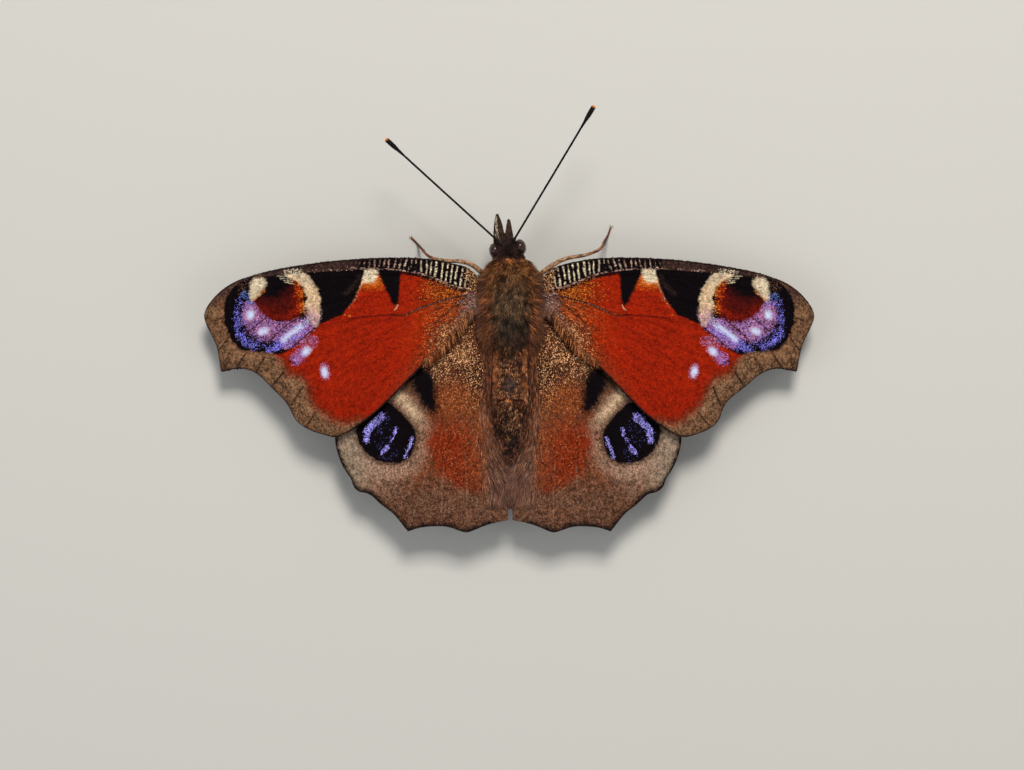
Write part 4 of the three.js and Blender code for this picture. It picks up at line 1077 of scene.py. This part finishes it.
def trunk_paint(points, seed):
    """Colours of the hair and skin of the trunk at some places."""
    x, y, z = points[:, 0] - BODY_AXIS, points[:, 1], points[:, 2]
    m = Markings(x, y, TRUNK_HUB, seed)
    side, top = np.abs(x), slope(z, 4.4, 5.2)
    paint_thorax(m, y, z, side, top)
    abdomen = slope(y + 0.3 * m.rough, -2.6, -3.3)
    paint_abdomen(m, x, y, side, top, abdomen)
    head = slope(y + 0.4 * m.rough, 5.8, 6.15)
    m.lay("pitch", head, 0.5, 0.2)
    m.lay("bristle", 0.2 * head, 0.9)
    m.lay("fur_rust", 0.5 * m.spot((-0.15, 5.95), (0.3, 0.26), 0, 0.3), 0.7)
    clump = mottle(x, y / 2, 0.24, 31) + 0.2 * mottle(x, y, 0.8, 32) + 0.8 * mottle(x, y / 2, 0.12, 33)
    clump *= 1 - 0.4 * abdomen
    return m.tint * np.clip(1 + clump, 0.2, 2.8)[:, None]


def scatter(obj, count, dice, sort=False):
    """Random places on an object's surface with the normals there, in mm. A mesh whose faces come in
    another order on each run is sorted by its places first."""
    mesh = obj.data
    mesh.calc_loop_triangles()
    corners = np.array([tri.vertices[:] for tri in mesh.loop_triangles])
    places = points_of(obj)
    normals = np.array([vert.normal[:] for vert in mesh.vertices])
    if sort:
        order = np.lexsort(places.T)
        places, normals, corners = places[order], normals[order], np.argsort(order)[corners]
        lowest = corners.argmin(axis=1)[:, None]
        corners = np.take_along_axis(corners, (lowest + np.arange(3)) % 3, axis=1)
        corners = corners[np.lexsort(corners.T)]
    a, b, c = (places[corners[:, k]] for k in range(3))
    area = np.linalg.norm(np.cross(b - a, c - a), axis=1)
    chosen = dice.choice(len(corners), count, p=area / area.sum())
    u, v = dice.random((2, count, 1))
    u, v = np.where(u + v > 1, 1 - u, u), np.where(u + v > 1, 1 - v, v)
    place, normal = (sum(share * rows[corners[chosen, k]] for k, share in enumerate((1 - u - v, u, v)))
                     for rows in (places, normals))
    return place, unit(normal)


def tufts(name, roots, normals, lie, length, width, rise, tint, patch, sink=0.08, flat=0.4):
    """Tufts of hair as closed three-sided spikes that rise from the skin and bend along the lie."""
    count = len(roots)
    length, width, rise = (np.broadcast_to(value, count)[:, None] for value in (length, width, rise))
    lie = unit(lie - normals * np.sum(lie * normals, axis=1, keepdims=True))
    start = unit(lie * np.cos(rise) + normals * np.sin(rise))
    finish = unit(lie * np.cos(rise * 0.3) + normals * np.sin(rise * 0.3))
    across = unit(np.cross(start, normals))
    depth = np.cross(across, start)
    base = roots - normals * sink
    middle = base + start * length * 0.5
    tip = middle + finish * length * 0.5
    rings = []
    for centre, share in ((base, 0.8), (middle, 1.0)):
        half = width * 0.5 * share
        rings += [centre - across * half, centre + across * half, centre + depth * half * 2 * flat]
    points = np.stack(rings + [tip], axis=1).reshape(-1, 3)
    first = (np.arange(count) * len(TUFT_SHADE))[:, None]
    corners = np.hstack([first + np.array(face) for face in TUFT_FACES]).reshape(-1)
    sizes = np.tile([len(face) for face in TUFT_FACES], count)
    # painted shade and light: each tuft darker at its root and lighter at its tip
    shades = np.clip(tint[:, None, :] * TUFT_SHADE[None, :, None], 0, 1).reshape(-1, 3)
    flat_map = (patch[:, None, :] + TUFT_MAP[None]).reshape(-1, 2)
    return coat_piece(name, points, corners, sizes, shades, flat_map, fur_material)


def trunk_lie(roots):
    """The lie of the hair: backwards, out over the wing roots, in towards the tip, on end on the head."""
    x, y = roots[:, 0] - BODY_AXIS, roots[:, 1]
    side = np.sign(x) * np.minimum(np.abs(x), 2)
    shoulder = np.exp(-(((y - 1.5) / 3.0) ** 2)) * (y > -3)
    closing = side / 0.9 * 0.6 * slope(y, -8.5, -11.5) * (1 - beside_abdomen(x, y, -0.4))
    outward = side / 2.2 * (0.1 + 0.8 * shoulder) - closing
    head = slope(y, 5.9, 6.6)
    outward = outward * (1 - head) + 0.9 * head * side + 0.8 * side * slope(np.abs(y - 5.9), 0.7, 0.2)
    return columns(outward, -1 + 1.5 * head, -0.12 + 0.3 * head)


trunk = object_from("trunk_skin", loft(trunk_rings(), TRUNK_SIDES), skin_material)
# painted shade: the skin under the hair takes the coat's colours darkened to 0.4
paint_mesh(trunk.data, trunk_paint(points_of(trunk), 61) * 0.4)
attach(trunk, "root")
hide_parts("thorax", "abdomen", "head")

dice = np.random.default_rng(71)
roots, normals = scatter(trunk, TRUNK_ROOTS, dice)
y, z = roots[:, 1], roots[:, 2]
lie = trunk_lie(roots) + dice.normal(0, 0.3, roots.shape)
tint = trunk_paint(roots, 72)
sparse_under = (z > 4.4) | (dice.random(len(y)) < 0.3)
# where it grows, most tufts, and the ranges of their length, width and rise
for name, chosen, most, length, width, rise in (
    ("thorax_fur", (y < 6.05) & (y > -3.0) & sparse_under, 19000, (0.5, 1.1), (0.04, 0.075), (0.35, 0.95)),
    ("abdomen_fur", (y <= -2.6) & sparse_under, 14500, (0.28, 0.55), (0.05, 0.08), (0.14, 0.4)),
    ("head_fur", y >= 5.95, 5500, (0.3, 0.65), (0.03, 0.055), (0.4, 1.2)),
):
    rows = np.flatnonzero(chosen)[:most]
    count = len(rows)
    x, along = roots[rows, 0], y[rows]
    flank = slope(np.abs(x), 1.7, 2.4) * (along > -2.5) + slope(np.abs(along - 5.9), 0.6, 0.2)
    flank += 2.5 * beside_abdomen(x - BODY_AXIS, along, -0.4)
    coat = tufts(
        name, roots[rows], normals[rows], lie[rows], dice.uniform(*length, count) * (1 + 0.25 * flank),
        dice.uniform(*width, count), dice.uniform(*rise, count) + 0.2 * flank, tint[rows],
        trunk_patch(roots[rows]))


# Hair over the wing roots
# Long soft hair grows from the shoulders and from the inner part of each hind wing. It hides the
# wing joints and the trough beside the abdomen.
SHOULDER_ROOTS = 100000
SHOULDER_TUFTS = 4000
INNER_TUFTS = 6200

for hand, side in SIDES.items():
    dice = np.random.default_rng(80 + side)
    roots, _ = scatter(trunk, SHOULDER_ROOTS, dice)
    out, y, z = side * (roots[:, 0] - BODY_AXIS), roots[:, 1], roots[:, 2]
    on_shoulder = (out > 1.5) & (z > 4.9 + 0.9 * slope(y, -0.9, 0.3)) & (z < 6.7) & (y > -2.6) & (y < 4.6)
    chosen = np.flatnonzero(on_shoulder)[:SHOULDER_TUFTS]
    roots, out, y = roots[chosen], out[chosen], y[chosen]
    count = len(roots)
    normals = np.tile(unit(np.array([[side * 0.3, 0.0, 1.0]])), (count, 1))
    lie = columns(side * (0.9 + 0.5 * slope(y, -1.5, 1.5)), -1 + 0.15 * np.clip(y, 0, 4), -0.3)
    lie += dice.normal(0, 0.28, lie.shape)
    m = Markings(out, y, TRUNK_HUB, 81)
    m.lay("fur_rust", 1, 1, 0.4)
    m.lay("fur", 0.4 + 0.5 * slope(y, 1.5, 3.5), 1, 0.4)
    m.lay("hair_lilac", 0.75 * slope(out + 0.3 * m.rough, 2.0, 2.3) * slope(np.abs(y - 0.7), 3.2, 1.8), 0.9)
    m.lay("hair_brown", 0.5 * slope(y, -0.3, -1.8), 0.8)
    m.lay("fur_dark", 0.34, 1)
    coat = tufts(f"shoulder_hair_{hand}", roots, normals, lie, dice.uniform(0.7, 1.7, count),
                 dice.uniform(0.03, 0.055, count), dice.uniform(0.0, 0.3, count), m.tint,
                 trunk_patch(roots), sink=0.02)

    y = -1.5 - 17.2 * dice.uniform(0, 1, INNER_TUFTS)
    x = dice.exponential(0.6, INNER_TUFTS) * (1 + 0.9 * slope(y, -9, -12))
    x = np.maximum(abdomen_half(y) - 0.02, 0.22) + x
    reach = 2.2 + 0.5 * slope(y, -6, -9) - 0.5 * slope(y, -13, -18) + 0.6 * dice.random(INNER_TUFTS)
    x, y = x[x < reach], y[x < reach]
    count = len(x)
    roots = columns(side * x + BODY_AXIS, y, hind_rise(x, y) + FILM / 2 + 0.02)
    normals = np.tile([0.0, 0.0, 1.0], (count, 1))
    inward = -0.55 * slope(y, -7, -11) * slope(x, 3.6, 1.6) * slope(y, -17.5, -15) + 0.1 * slope(x, 2, 3)
    inward -= 0.5 * slope(x, 0.8, 0.3) * slope(y, -12, -15)
    lie = columns(side * inward, -1, 0) + dice.normal(0, 0.1, (count, 3))
    m = Markings(x, y, TRUNK_HUB, 82)
    m.lay("hair_brown", 1, 1, 0.3)
    m.lay("hair_dark", 0.5 - 0.25 * slope(y, -13, -16), 1, 0.3)
    # painted shade: the inner hair is darkened along the trough beside the abdomen, where shade falls
    trough_shade = slope(np.abs(x - abdomen_half(y) - 0.3), 0.6, 0.2)
    m.lay("hair_dark", 0.8 * trough_shade * slope(y, -10.5, -8), 0.8)
    m.lay("fur_rust", 0.3 * slope(y, -15, -9), 1)
    m.lay("hair_lilac", 0.3 * slope(y, -12, -15), 0.9)
    m.lay("straw_hair", 0.14 * slope(y, -7, -9), 1)
    coat = tufts(f"inner_hair_{hand}", roots, normals, lie, np.minimum(dice.uniform(0.7, 1.5, count), y + 19),
                 dice.uniform(0.025, 0.045, count), dice.uniform(0.04, 0.16, count), m.tint,
                 columns((x + 1) / 24, (y + 22) / 26), sink=0.02)


# Hair along the hind edge of the fore wing
# Short speckled hair and loose scales hang from the fore wing's hind edge near the body and close the
# step down to the hind wing. Each is a flat blade of chitin.
TRAILING_BLADES = 4500
TRAILING_STATIONS = ((0, -0.02, 0.016), (0.55, 0.05, 0.02), (1, 0.3, 0.01))   # share, sink, half width

for hand, side in SIDES.items():
    dice = np.random.default_rng(85 + side)
    outline = wing_outlines[f"forewing_{hand}"]
    near_body = outline[(outline[:, 1] < 1.0) & (outline[:, 0] < 9.2)]
    near_body = near_body[np.argsort(near_body[:, 0])]
    count = TRAILING_BLADES
    x = 2.7 + 6.0 * dice.random(count) ** 1.2
    y, ahead = (np.interp(place, *near_body.T) for place in (x, x + 0.3))
    slant = unit(columns(1.0, ahead - y) * [0.3, 1])
    away = columns(slant[:, 1], -slant[:, 0])
    lie = unit(away + slant * dice.uniform(0.6, 2.0, (count, 1)))
    foot = columns(x, y) - away * dice.uniform(0.0, 0.4, (count, 1))
    reach = dice.uniform(0.3, 1.0, count) * slope(x, 9.4, 7.4)
    spine = np.zeros((count, 3, 3))
    for k, (share, sink, _) in enumerate(TRAILING_STATIONS):
        px, py = (foot + lie * (reach * share)[:, None]).T
        height = fore_rise(foot[:, 0], foot[:, 1]) + FILM / 2 + 0.06 - sink * reach - 0.1 * share
        spine[:, k] = columns(side * px + BODY_AXIS, py, height)
    half = np.array([row[2] for row in TRAILING_STATIONS])[None] * dice.uniform(0.8, 1.3, count)[:, None]
    m = Markings(x, y, FORE_HUB, 86)
    m.lay("brown", 1, 1, 0.4)
    m.lay("russet", 0.4 * slope(x, 4.5, 6.5), 1, 0.3)
    m.lay("umber", 0.35, 1)
    m.lay("tan", 0.24, 1, 0.4)
    m.lay("lilac", 0.5 * slope(x, 4.4, 3.6), 1, 0.3)
    across = columns(lie[:, 1], -side * lie[:, 0], 0)
    patch = wing_patch(columns(x, y), outline)
    coat = blades(f"trailing_hair_{hand}", spine, half, across, m.tint, patch)


# Eyes
# Two large, dark, hairy compound eyes of fine six-sided facets bulge at the sides of the head.
HEAD_CENTRE = (-0.22, 6.95, 4.75)
HEAD_TURN = math.radians(8)
EYE_OFFSET = (1.26, 0.1, 0.12)
EYE_SIZE = (0.56, 0.8, 0.95)
EYE_SHRINK = 0.97         # the ball lies this much inside its solid
FACET = 0.035
FACET_DEPTH = 0.006
FACET_HUE, GROOVE_HUE = (62, 28, 20), (16, 8, 7)
EYE_HAIR_HUE = (50, 30, 22)
EYE_BRISTLES = 1200
head_frame = Matrix.Translation(Vector(HEAD_CENTRE) * MM) @ Matrix.Rotation(HEAD_TURN, 4, "Z")

eye_material, eye_tree, eye_shader = finish_of("eye_gloss", 0.45, 0.1)
eye_shader.inputs["Coat Weight"].default_value = 0.75
eye_shader.inputs["Coat Roughness"].default_value = 0.1
eye_place = eye_tree.nodes.new("ShaderNodeTexCoord")
eye_cells = eye_tree.nodes.new("ShaderNodeTexVoronoi")
eye_cells.inputs["Scale"].default_value = 1 / (FACET * MM)
eye_bump = eye_tree.nodes.new("ShaderNodeBump")
eye_bump.inputs["Distance"].default_value = FACET_DEPTH * MM
eye_ramp = eye_tree.nodes.new("ShaderNodeValToRGB")
eye_ramp.color_ramp.elements[0].color = (*linear(FACET_HUE), 1)
eye_ramp.color_ramp.elements[1].color = (*linear(GROOVE_HUE), 1)
for source, target in (
    (eye_place.outputs["Object"], eye_cells.inputs["Vector"]),
    (eye_cells.outputs["Distance"], eye_bump.inputs["Height"]),
    (eye_cells.outputs["Distance"], eye_ramp.inputs["Fac"]),
    (eye_ramp.outputs["Color"], eye_shader.inputs["Base Color"]),
    (eye_bump.outputs["Normal"], eye_shader.inputs["Normal"]),
):
    eye_tree.links.new(source, target)

for hand, side in SIDES.items():
    ball = bmesh.new()
    bmesh.ops.create_uvsphere(ball, u_segments=40, v_segments=28, radius=MM)
    bmesh.ops.scale(ball, vec=[size * EYE_SHRINK for size in EYE_SIZE], verts=ball.verts)
    offset = Vector((side * EYE_OFFSET[0], EYE_OFFSET[1], EYE_OFFSET[2])) * MM
    bmesh.ops.translate(ball, vec=offset, verts=ball.verts)
    bmesh.ops.transform(ball, matrix=head_frame, verts=ball.verts)
    eye = object_from(f"eye_{hand}_ball", ball, eye_material)
    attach(eye, "root")
    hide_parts(f"eye_{hand}")
    dice = np.random.default_rng(90 + side)
    roots, normals = scatter(eye, EYE_BRISTLES, dice, sort=True)
    count = len(roots)
    lie = np.tile([0.0, 0.4, 0.3], (count, 1)) + dice.normal(0, 0.5, roots.shape)
    hue = linear(EYE_HAIR_HUE)[None] * dice.uniform(0.4, 1.6, count)[:, None]
    lashes = tufts(f"eye_{hand}_bristles", roots, normals, lie, dice.uniform(0.1, 0.22, count), 0.013,
                   dice.uniform(0.7, 1.3, count), hue, (roots[:, :2] + 16) / 40, sink=0.02)


# Palps
# Two upright brushes of bristles on jointed stalks stand before the face and shield the tongue.
PALPS = {                 # root, tip and radii of each stalk
    "left": ((-1.0, 7.2, 4.15), (-1.28, 10.5, 5.1), [0.42, 0.52, 0.5, 0.43, 0.32, 0.13]),
    "right": ((-0.06, 7.2, 4.15), (-0.13, 9.98, 5.0), [0.34, 0.38, 0.36, 0.3, 0.22, 0.13]),
}
PALP_BRISTLES = 1900
STALK_HUE = (34, 22, 18)
PAINTS["palp_brown"] = (92, 68, 50)


def tube_rings(route, radii, steps):
    """Rings along a smooth route, whose radii are spaced evenly over it."""
    line = smooth_line(route, steps=24)
    travelled = np.concatenate([[0], np.cumsum(np.linalg.norm(np.diff(line, axis=0), axis=1))])
    share = np.linspace(0, 1, steps + 1)
    centres = columns(*(np.interp(share * travelled[-1], travelled, line[:, k]) for k in range(3)))
    radius = np.interp(share, np.linspace(0, 1, len(radii)), radii)
    rings = []
    for centre, size, ahead in zip(centres, radius, unit(np.gradient(centres, axis=0))):
        wide = np.cross(ahead, (0, 0, 1))
        wide = wide / np.linalg.norm(wide) if np.linalg.norm(wide) > 0.05 else np.array([1.0, 0, 0])
        rings.append((centre, size, size, wide, np.cross(wide, ahead)))
    return rings


def round_patch(along, normals):
    """Places on a slim piece's flat map: along it across the map, and round it up the map."""
    return columns(along, np.arctan2(normals[:, 2], normals[:, 0]) / 6.3 + 0.5)


for hand, (start, end, radii) in PALPS.items():
    rings = tube_rings([start, np.add(start, end) / 2, end], radii, 16)
    stalk = object_from(f"palp_{hand}_stalk", loft(rings, 16), skin_material)
    paint_mesh(stalk.data, np.tile(linear(STALK_HUE), (len(stalk.data.vertices), 1)))
    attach(stalk, "root")
    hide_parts(f"palp_{hand}")
    dice = np.random.default_rng(100 + len(hand))
    roots, normals = scatter(stalk, PALP_BRISTLES, dice)
    count = len(roots)
    length = np.linalg.norm(np.subtract(end, start))
    ahead = np.subtract(end, start) / length
    lie = np.tile(ahead, (count, 1)) + dice.normal(0, 0.16, roots.shape)
    m = Markings(roots[:, 0], roots[:, 1], (0, -5), 101)
    m.lay("pitch", 1, 1, 0.25)
    m.lay("palp_brown", 0.42, 1)
    reach = (roots - start) @ ahead / length
    off_middle = roots[:, 0] - np.interp(reach, [0, 1], [start[0], end[0]])
    if hand == "left":
        streak = slope(np.abs(off_middle + 0.17), 0.16, 0.06)
        m.lay("chalk", 0.85 * streak * slope(np.abs(reach - 0.6), 0.36, 0.26), 0.8)
        m.lay("pitch", 0.8 * slope(off_middle, -0.3, -0.38), 0.8)
    long_hair = dice.uniform(0.35, 0.62, count) * np.sqrt(np.clip(1.05 - reach, 0.06, 1))
    coat = tufts(f"palp_{hand}_bristles", roots, normals, lie, long_hair, 0.045,
                 dice.uniform(0.12, 0.36, count), m.tint, round_patch(reach * 0.9 + 0.05, normals), sink=0.03)


# Antennae
# Each feeler is a thin, stiff, ringed shaft of many short joints that ends in a flattened black club
# with a pale tip. Rings of pale scales show on its under side.
ANTENNAE = {
    "left": ((-0.8, 7.45, 5.95), (-12.27, 17.78, 8.0)),
    "right": ((0.36, 7.85, 5.95), (8.31, 21.02, 8.2)),
}
ANTENNA_SAG = 0.35
ANTENNA_JOINT = 0.42
JOINT_RINGS = np.array([0.0, 0.05, 0.2, 0.36])
SHAFT_RADIUS = 0.105
CLUB_RADIUS = 0.25
CLUB_LENGTH = 2.5
CLUB_SWELL = ([0, 0.25, 0.55, 0.8, 0.93, 0.975, 1], [0, 0.28, 0.85, 1, 0.92, 0.7, 0.02])
PALE_TIP = 0.16
horn_material = painted_material("antenna_horn", 0.5, 0.15, grain=0.01)

for hand, (start, end) in ANTENNAE.items():
    start, end = np.array(start), np.array(end)
    length = np.linalg.norm(end - start)
    ahead = (end - start) / length
    wide = unit(np.cross(ahead, (0, 0, 1.0))[None])[0]
    high = np.cross(wide, ahead)
    travel = (np.arange(int(length / ANTENNA_JOINT))[:, None] * ANTENNA_JOINT + JOINT_RINGS).ravel()
    travel = np.append(travel[travel < length - 0.12], [length - 0.1, length - 0.03, length])
    club = np.clip((travel - length + CLUB_LENGTH) / CLUB_LENGTH, 0, 1)
    radius = SHAFT_RADIUS + (CLUB_RADIUS - SHAFT_RADIUS) * np.interp(club, *CLUB_SWELL)
    radius[club >= 0.999] = 0.03
    radius *= 1 + 0.07 * np.where(np.isclose((travel / ANTENNA_JOINT) % 1, 0, atol=0.02), -1, 0.4)
    radius += 0.09 * np.exp(-((travel / 0.25) ** 2))
    rings = []
    for place, size in zip(travel, radius):
        centre = start + ahead * place - np.array([0, 0, ANTENNA_SAG * math.sin(math.pi * place / length)])
        rings.append((centre, size, size * 0.9, wide, high))
    feeler = object_from(f"antenna_{hand}_horn", loft(rings, 14), horn_material)
    places = points_of(feeler)
    along_it = (places - start) @ ahead
    sag = ANTENNA_SAG * 0.9 * np.sin(np.pi * np.clip(along_it / length, 0, 1))
    below = (places - start - along_it[:, None] * ahead) @ high < -0.02 - sag
    m = Markings(places[:, 0], places[:, 1], (0, 0), 111)
    m.lay("black", 1, 0.1)
    m.lay("straw", 0.9 * below * ((along_it / ANTENNA_JOINT) % 1 < 0.3) * (along_it < length - CLUB_LENGTH))
    m.lay("amber", 1.0 * (along_it > length - PALE_TIP))
    paint_mesh(feeler.data, m.tint)
    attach(feeler, "root")
    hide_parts(f"antenna_{hand}")


# Tongue
# The sucking tongue is a split, ringed, dark tube, rolled up like a watch spring under the head.
COIL_CENTRE = np.array([-0.55, 7.85, 3.05])
COIL_OUTER = 0.9
COIL_PITCH = 0.26
COIL_TURNS = 2.8
COIL_RINGS = 90
TONGUE_RADIUS = 0.12
TONGUE_TIP = 0.02

coil_rings = []
for k, turns in enumerate(np.linspace(0, COIL_TURNS, COIL_RINGS)):
    angle = math.pi / 2 - 2 * math.pi * turns
    out = np.array([0, math.cos(angle), math.sin(angle)])
    size = TONGUE_RADIUS * (1 - 0.35 * k / COIL_RINGS) * (1 + 0.05 * (-1) ** k)
    size = TONGUE_TIP if k == COIL_RINGS - 1 else size
    coil_rings.append((COIL_CENTRE + out * (COIL_OUTER - COIL_PITCH * turns), size, size, (1, 0, 0), out))
tongue = object_from("tongue_coil", loft(coil_rings, 12), horn_material)
places = points_of(tongue)
m = Markings(places[:, 1] * 3, places[:, 2] * 3, (0, 0), 121)
m.lay("umber", 1, 0.15)
m.lay("black", 0.35)
paint_mesh(tongue.data, m.tint)
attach(tongue, "root")
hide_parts("proboscis")


# Legs
# The fore legs are small brushes held up under the thorax. The four walking legs are slim tubes clad
# in flat scales, with two spurs at the shin's end, a foot of five joints and a pair of hooked claws.
LEGS = {
    "foreleg": {
        "left": [(-0.85, 4.3, 3), (-1.45, 6, 2.15), (-1.15, 7.3, 2.05)],
        "right": [(0.85, 4.3, 3), (1.35, 6.1, 2.15), (0.75, 7.3, 2.05)],
        "radii": [0.24, 0.2, 0.06],
    },
    "midleg": {
        "left": [(-1.6, 3.6, 3.2), (-4, 5.6, 4.3), (-6.8, 5.95, 4.5), (-8.15, 6.4, 4.2), (-8.95, 7.3, 1.7),
                 (-9.35, 7.75, 0.17), (-9.95, 8.4, 0.14)],
        "right": [(1.7, 3.6, 3.2), (4.9, 5.85, 4.3), (7.6, 6.5, 4.5), (9, 7.1, 4.2), (9.6, 8.1, 1.7),
                  (9.9, 8.6, 0.17), (10.2, 9.45, 0.14)],
        "radii": [0.28, 0.25, 0.2, 0.16, 0.13, 0.12, 0.09],
    },
    "hindleg": {
        "left": [(-1.2, -0.3, 3), (-3.6, -2.2, 2.7), (-6, -4.1, 2.9), (-7.3, -7.2, 1.9), (-8, -9.6, 0.75),
                 (-8.35, -11.2, 0.17), (-8.6, -12.5, 0.14)],
        "right": [(1.3, -0.3, 3), (3.7, -2.2, 2.7), (6.1, -4, 2.9), (7.5, -7, 1.9), (8.3, -9.4, 0.75),
                  (8.7, -11, 0.17), (9, -12.3, 0.14)],
        "radii": [0.28, 0.24, 0.2, 0.16, 0.13, 0.12, 0.09],
    },
}
LEG_RINGS = 72
WALKING_JOINTS = (0.46, 0.72, 0.79, 0.85, 0.9, 0.95)    # knee, ankle and foot, shares of the leg's length
BRUSH_JOINTS = (0.5,)
SPUR_ROOT, SPUR_AIM = int(LEG_RINGS * 0.7), int(LEG_RINGS * 0.74)
PAINTS["leg_tan"] = (186, 148, 112)
leg_material = painted_material("leg_scales", 0.6, 0.25, grain=0.015)


def add_thorn(bm, start, end, width, droop=0.0):
    """Adds a short curved thorn from one place to another to a leg's mesh."""
    middle = (start + end) / 2 + np.array([0, 0, droop])
    thorn = loft(tube_rings([start, middle, end], [width, width * 0.7, 0.012], 6), 8)
    piece = bpy.data.meshes.new("thorn")
    thorn.to_mesh(piece)
    thorn.free()
    bm.from_mesh(piece)
    bpy.data.meshes.remove(piece)


def leg_tint(places, share, joints, walking, seed):
    """Tan thighs, browner shins and feet, dark joints."""
    m = Markings(places[:, 0], places[:, 1], (0, 0), seed)
    foot = slope(share, 0.5, 0.72) if walking else 0.3
    m.lay("leg_tan", 1, 1, 0.3)
    m.lay("tan", 0.2 + 0.5 * foot, 0.8)
    m.lay("rust", 0.1 + 0.75 * foot, 0.8)
    m.lay("umber", 0.2 + 0.25 * foot, 0.9)
    at_joint = np.min([np.abs(share - joint) for joint in joints + (0.12,)], axis=0)
    m.lay("umber", 0.8 * slope(at_joint, 0.02, 0.004), 0.5)
    m.lay("bristle", 0.7 * (not walking), 1)
    return m.tint


for kind, limb in LEGS.items():
    for hand, side in SIDES.items():
        walking = kind != "foreleg"
        joints = WALKING_JOINTS if walking else BRUSH_JOINTS
        rings = tube_rings(limb[hand], limb["radii"], LEG_RINGS)
        for k, (centre, wide, high, across, up) in enumerate(rings):
            away = min(abs(k / LEG_RINGS - joint) for joint in joints)
            size = 1 + 0.14 * math.exp(-(((away - 0.012) / 0.01) ** 2))
            size -= 0.16 * math.exp(-((away / 0.006) ** 2))
            rings[k] = (centre, wide * size, high * size, across, up)
        centres = np.array([ring[0] for ring in rings])
        limb_mesh = loft(rings, 12)
        if walking:
            toe, sideways = centres[-1], rings[-1][3]
            heading = unit((toe - centres[-4])[None])[0]
            shin_end, across = centres[SPUR_ROOT], rings[SPUR_ROOT][3]
            along_foot = unit((centres[SPUR_AIM] - shin_end)[None])[0]
            for turn in (-1, 1):
                claw_end = toe + heading * 0.26 + sideways * turn * 0.16 + np.array([0, 0, 0.02 - toe[2]])
                add_thorn(limb_mesh, toe - heading * 0.05, claw_end, 0.045, 0.07)
                add_thorn(limb_mesh, shin_end, shin_end + along_foot * 0.42 + across * turn * 0.2, 0.04)
        for vert in limb_mesh.verts:
            vert.co.z = max(vert.co.z, 0)
        leg = object_from(f"{kind}_{hand}_limb", limb_mesh, leg_material)
        headings = unit(np.gradient(centres, axis=0))

        def nearest_ring(places):
            """Which ring of this leg is nearest to each place."""
            return np.argmin(np.linalg.norm(places[:, None] - centres[None], axis=2), axis=1)

        places = points_of(leg)
        paint_mesh(leg.data, leg_tint(places, nearest_ring(places) / LEG_RINGS, joints, walking, 131))
        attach(leg, "root")
        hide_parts(f"{kind}_{hand}")
        dice = np.random.default_rng(130 + side)
        roots, normals = scatter(leg, 1400 if walking else 900, dice)
        nearest = nearest_ring(roots)
        clear_of_floor = roots[:, 2] + 0.2 * np.minimum(headings[nearest, 2], 0) > 0.14
        roots, normals, nearest = roots[clear_of_floor], normals[clear_of_floor], nearest[clear_of_floor]
        count = len(roots)
        lie = headings[nearest] + dice.normal(0, 0.16, (count, 3))
        near_end = slope(nearest / LEG_RINGS, 1.0, 0.7) * 0.5 + 0.5
        longest = 0.24 if walking else 0.5
        coat = tufts(
            f"{kind}_{hand}_scales", roots, normals, lie, dice.uniform(0.1, longest, count) * near_end, 0.05,
            dice.uniform(0.06, 0.4, count), leg_tint(roots, nearest / LEG_RINGS, joints, walking, 132),
            round_patch(nearest / (LEG_RINGS + 3) + 0.01, normals), sink=0.02, flat=0.25)
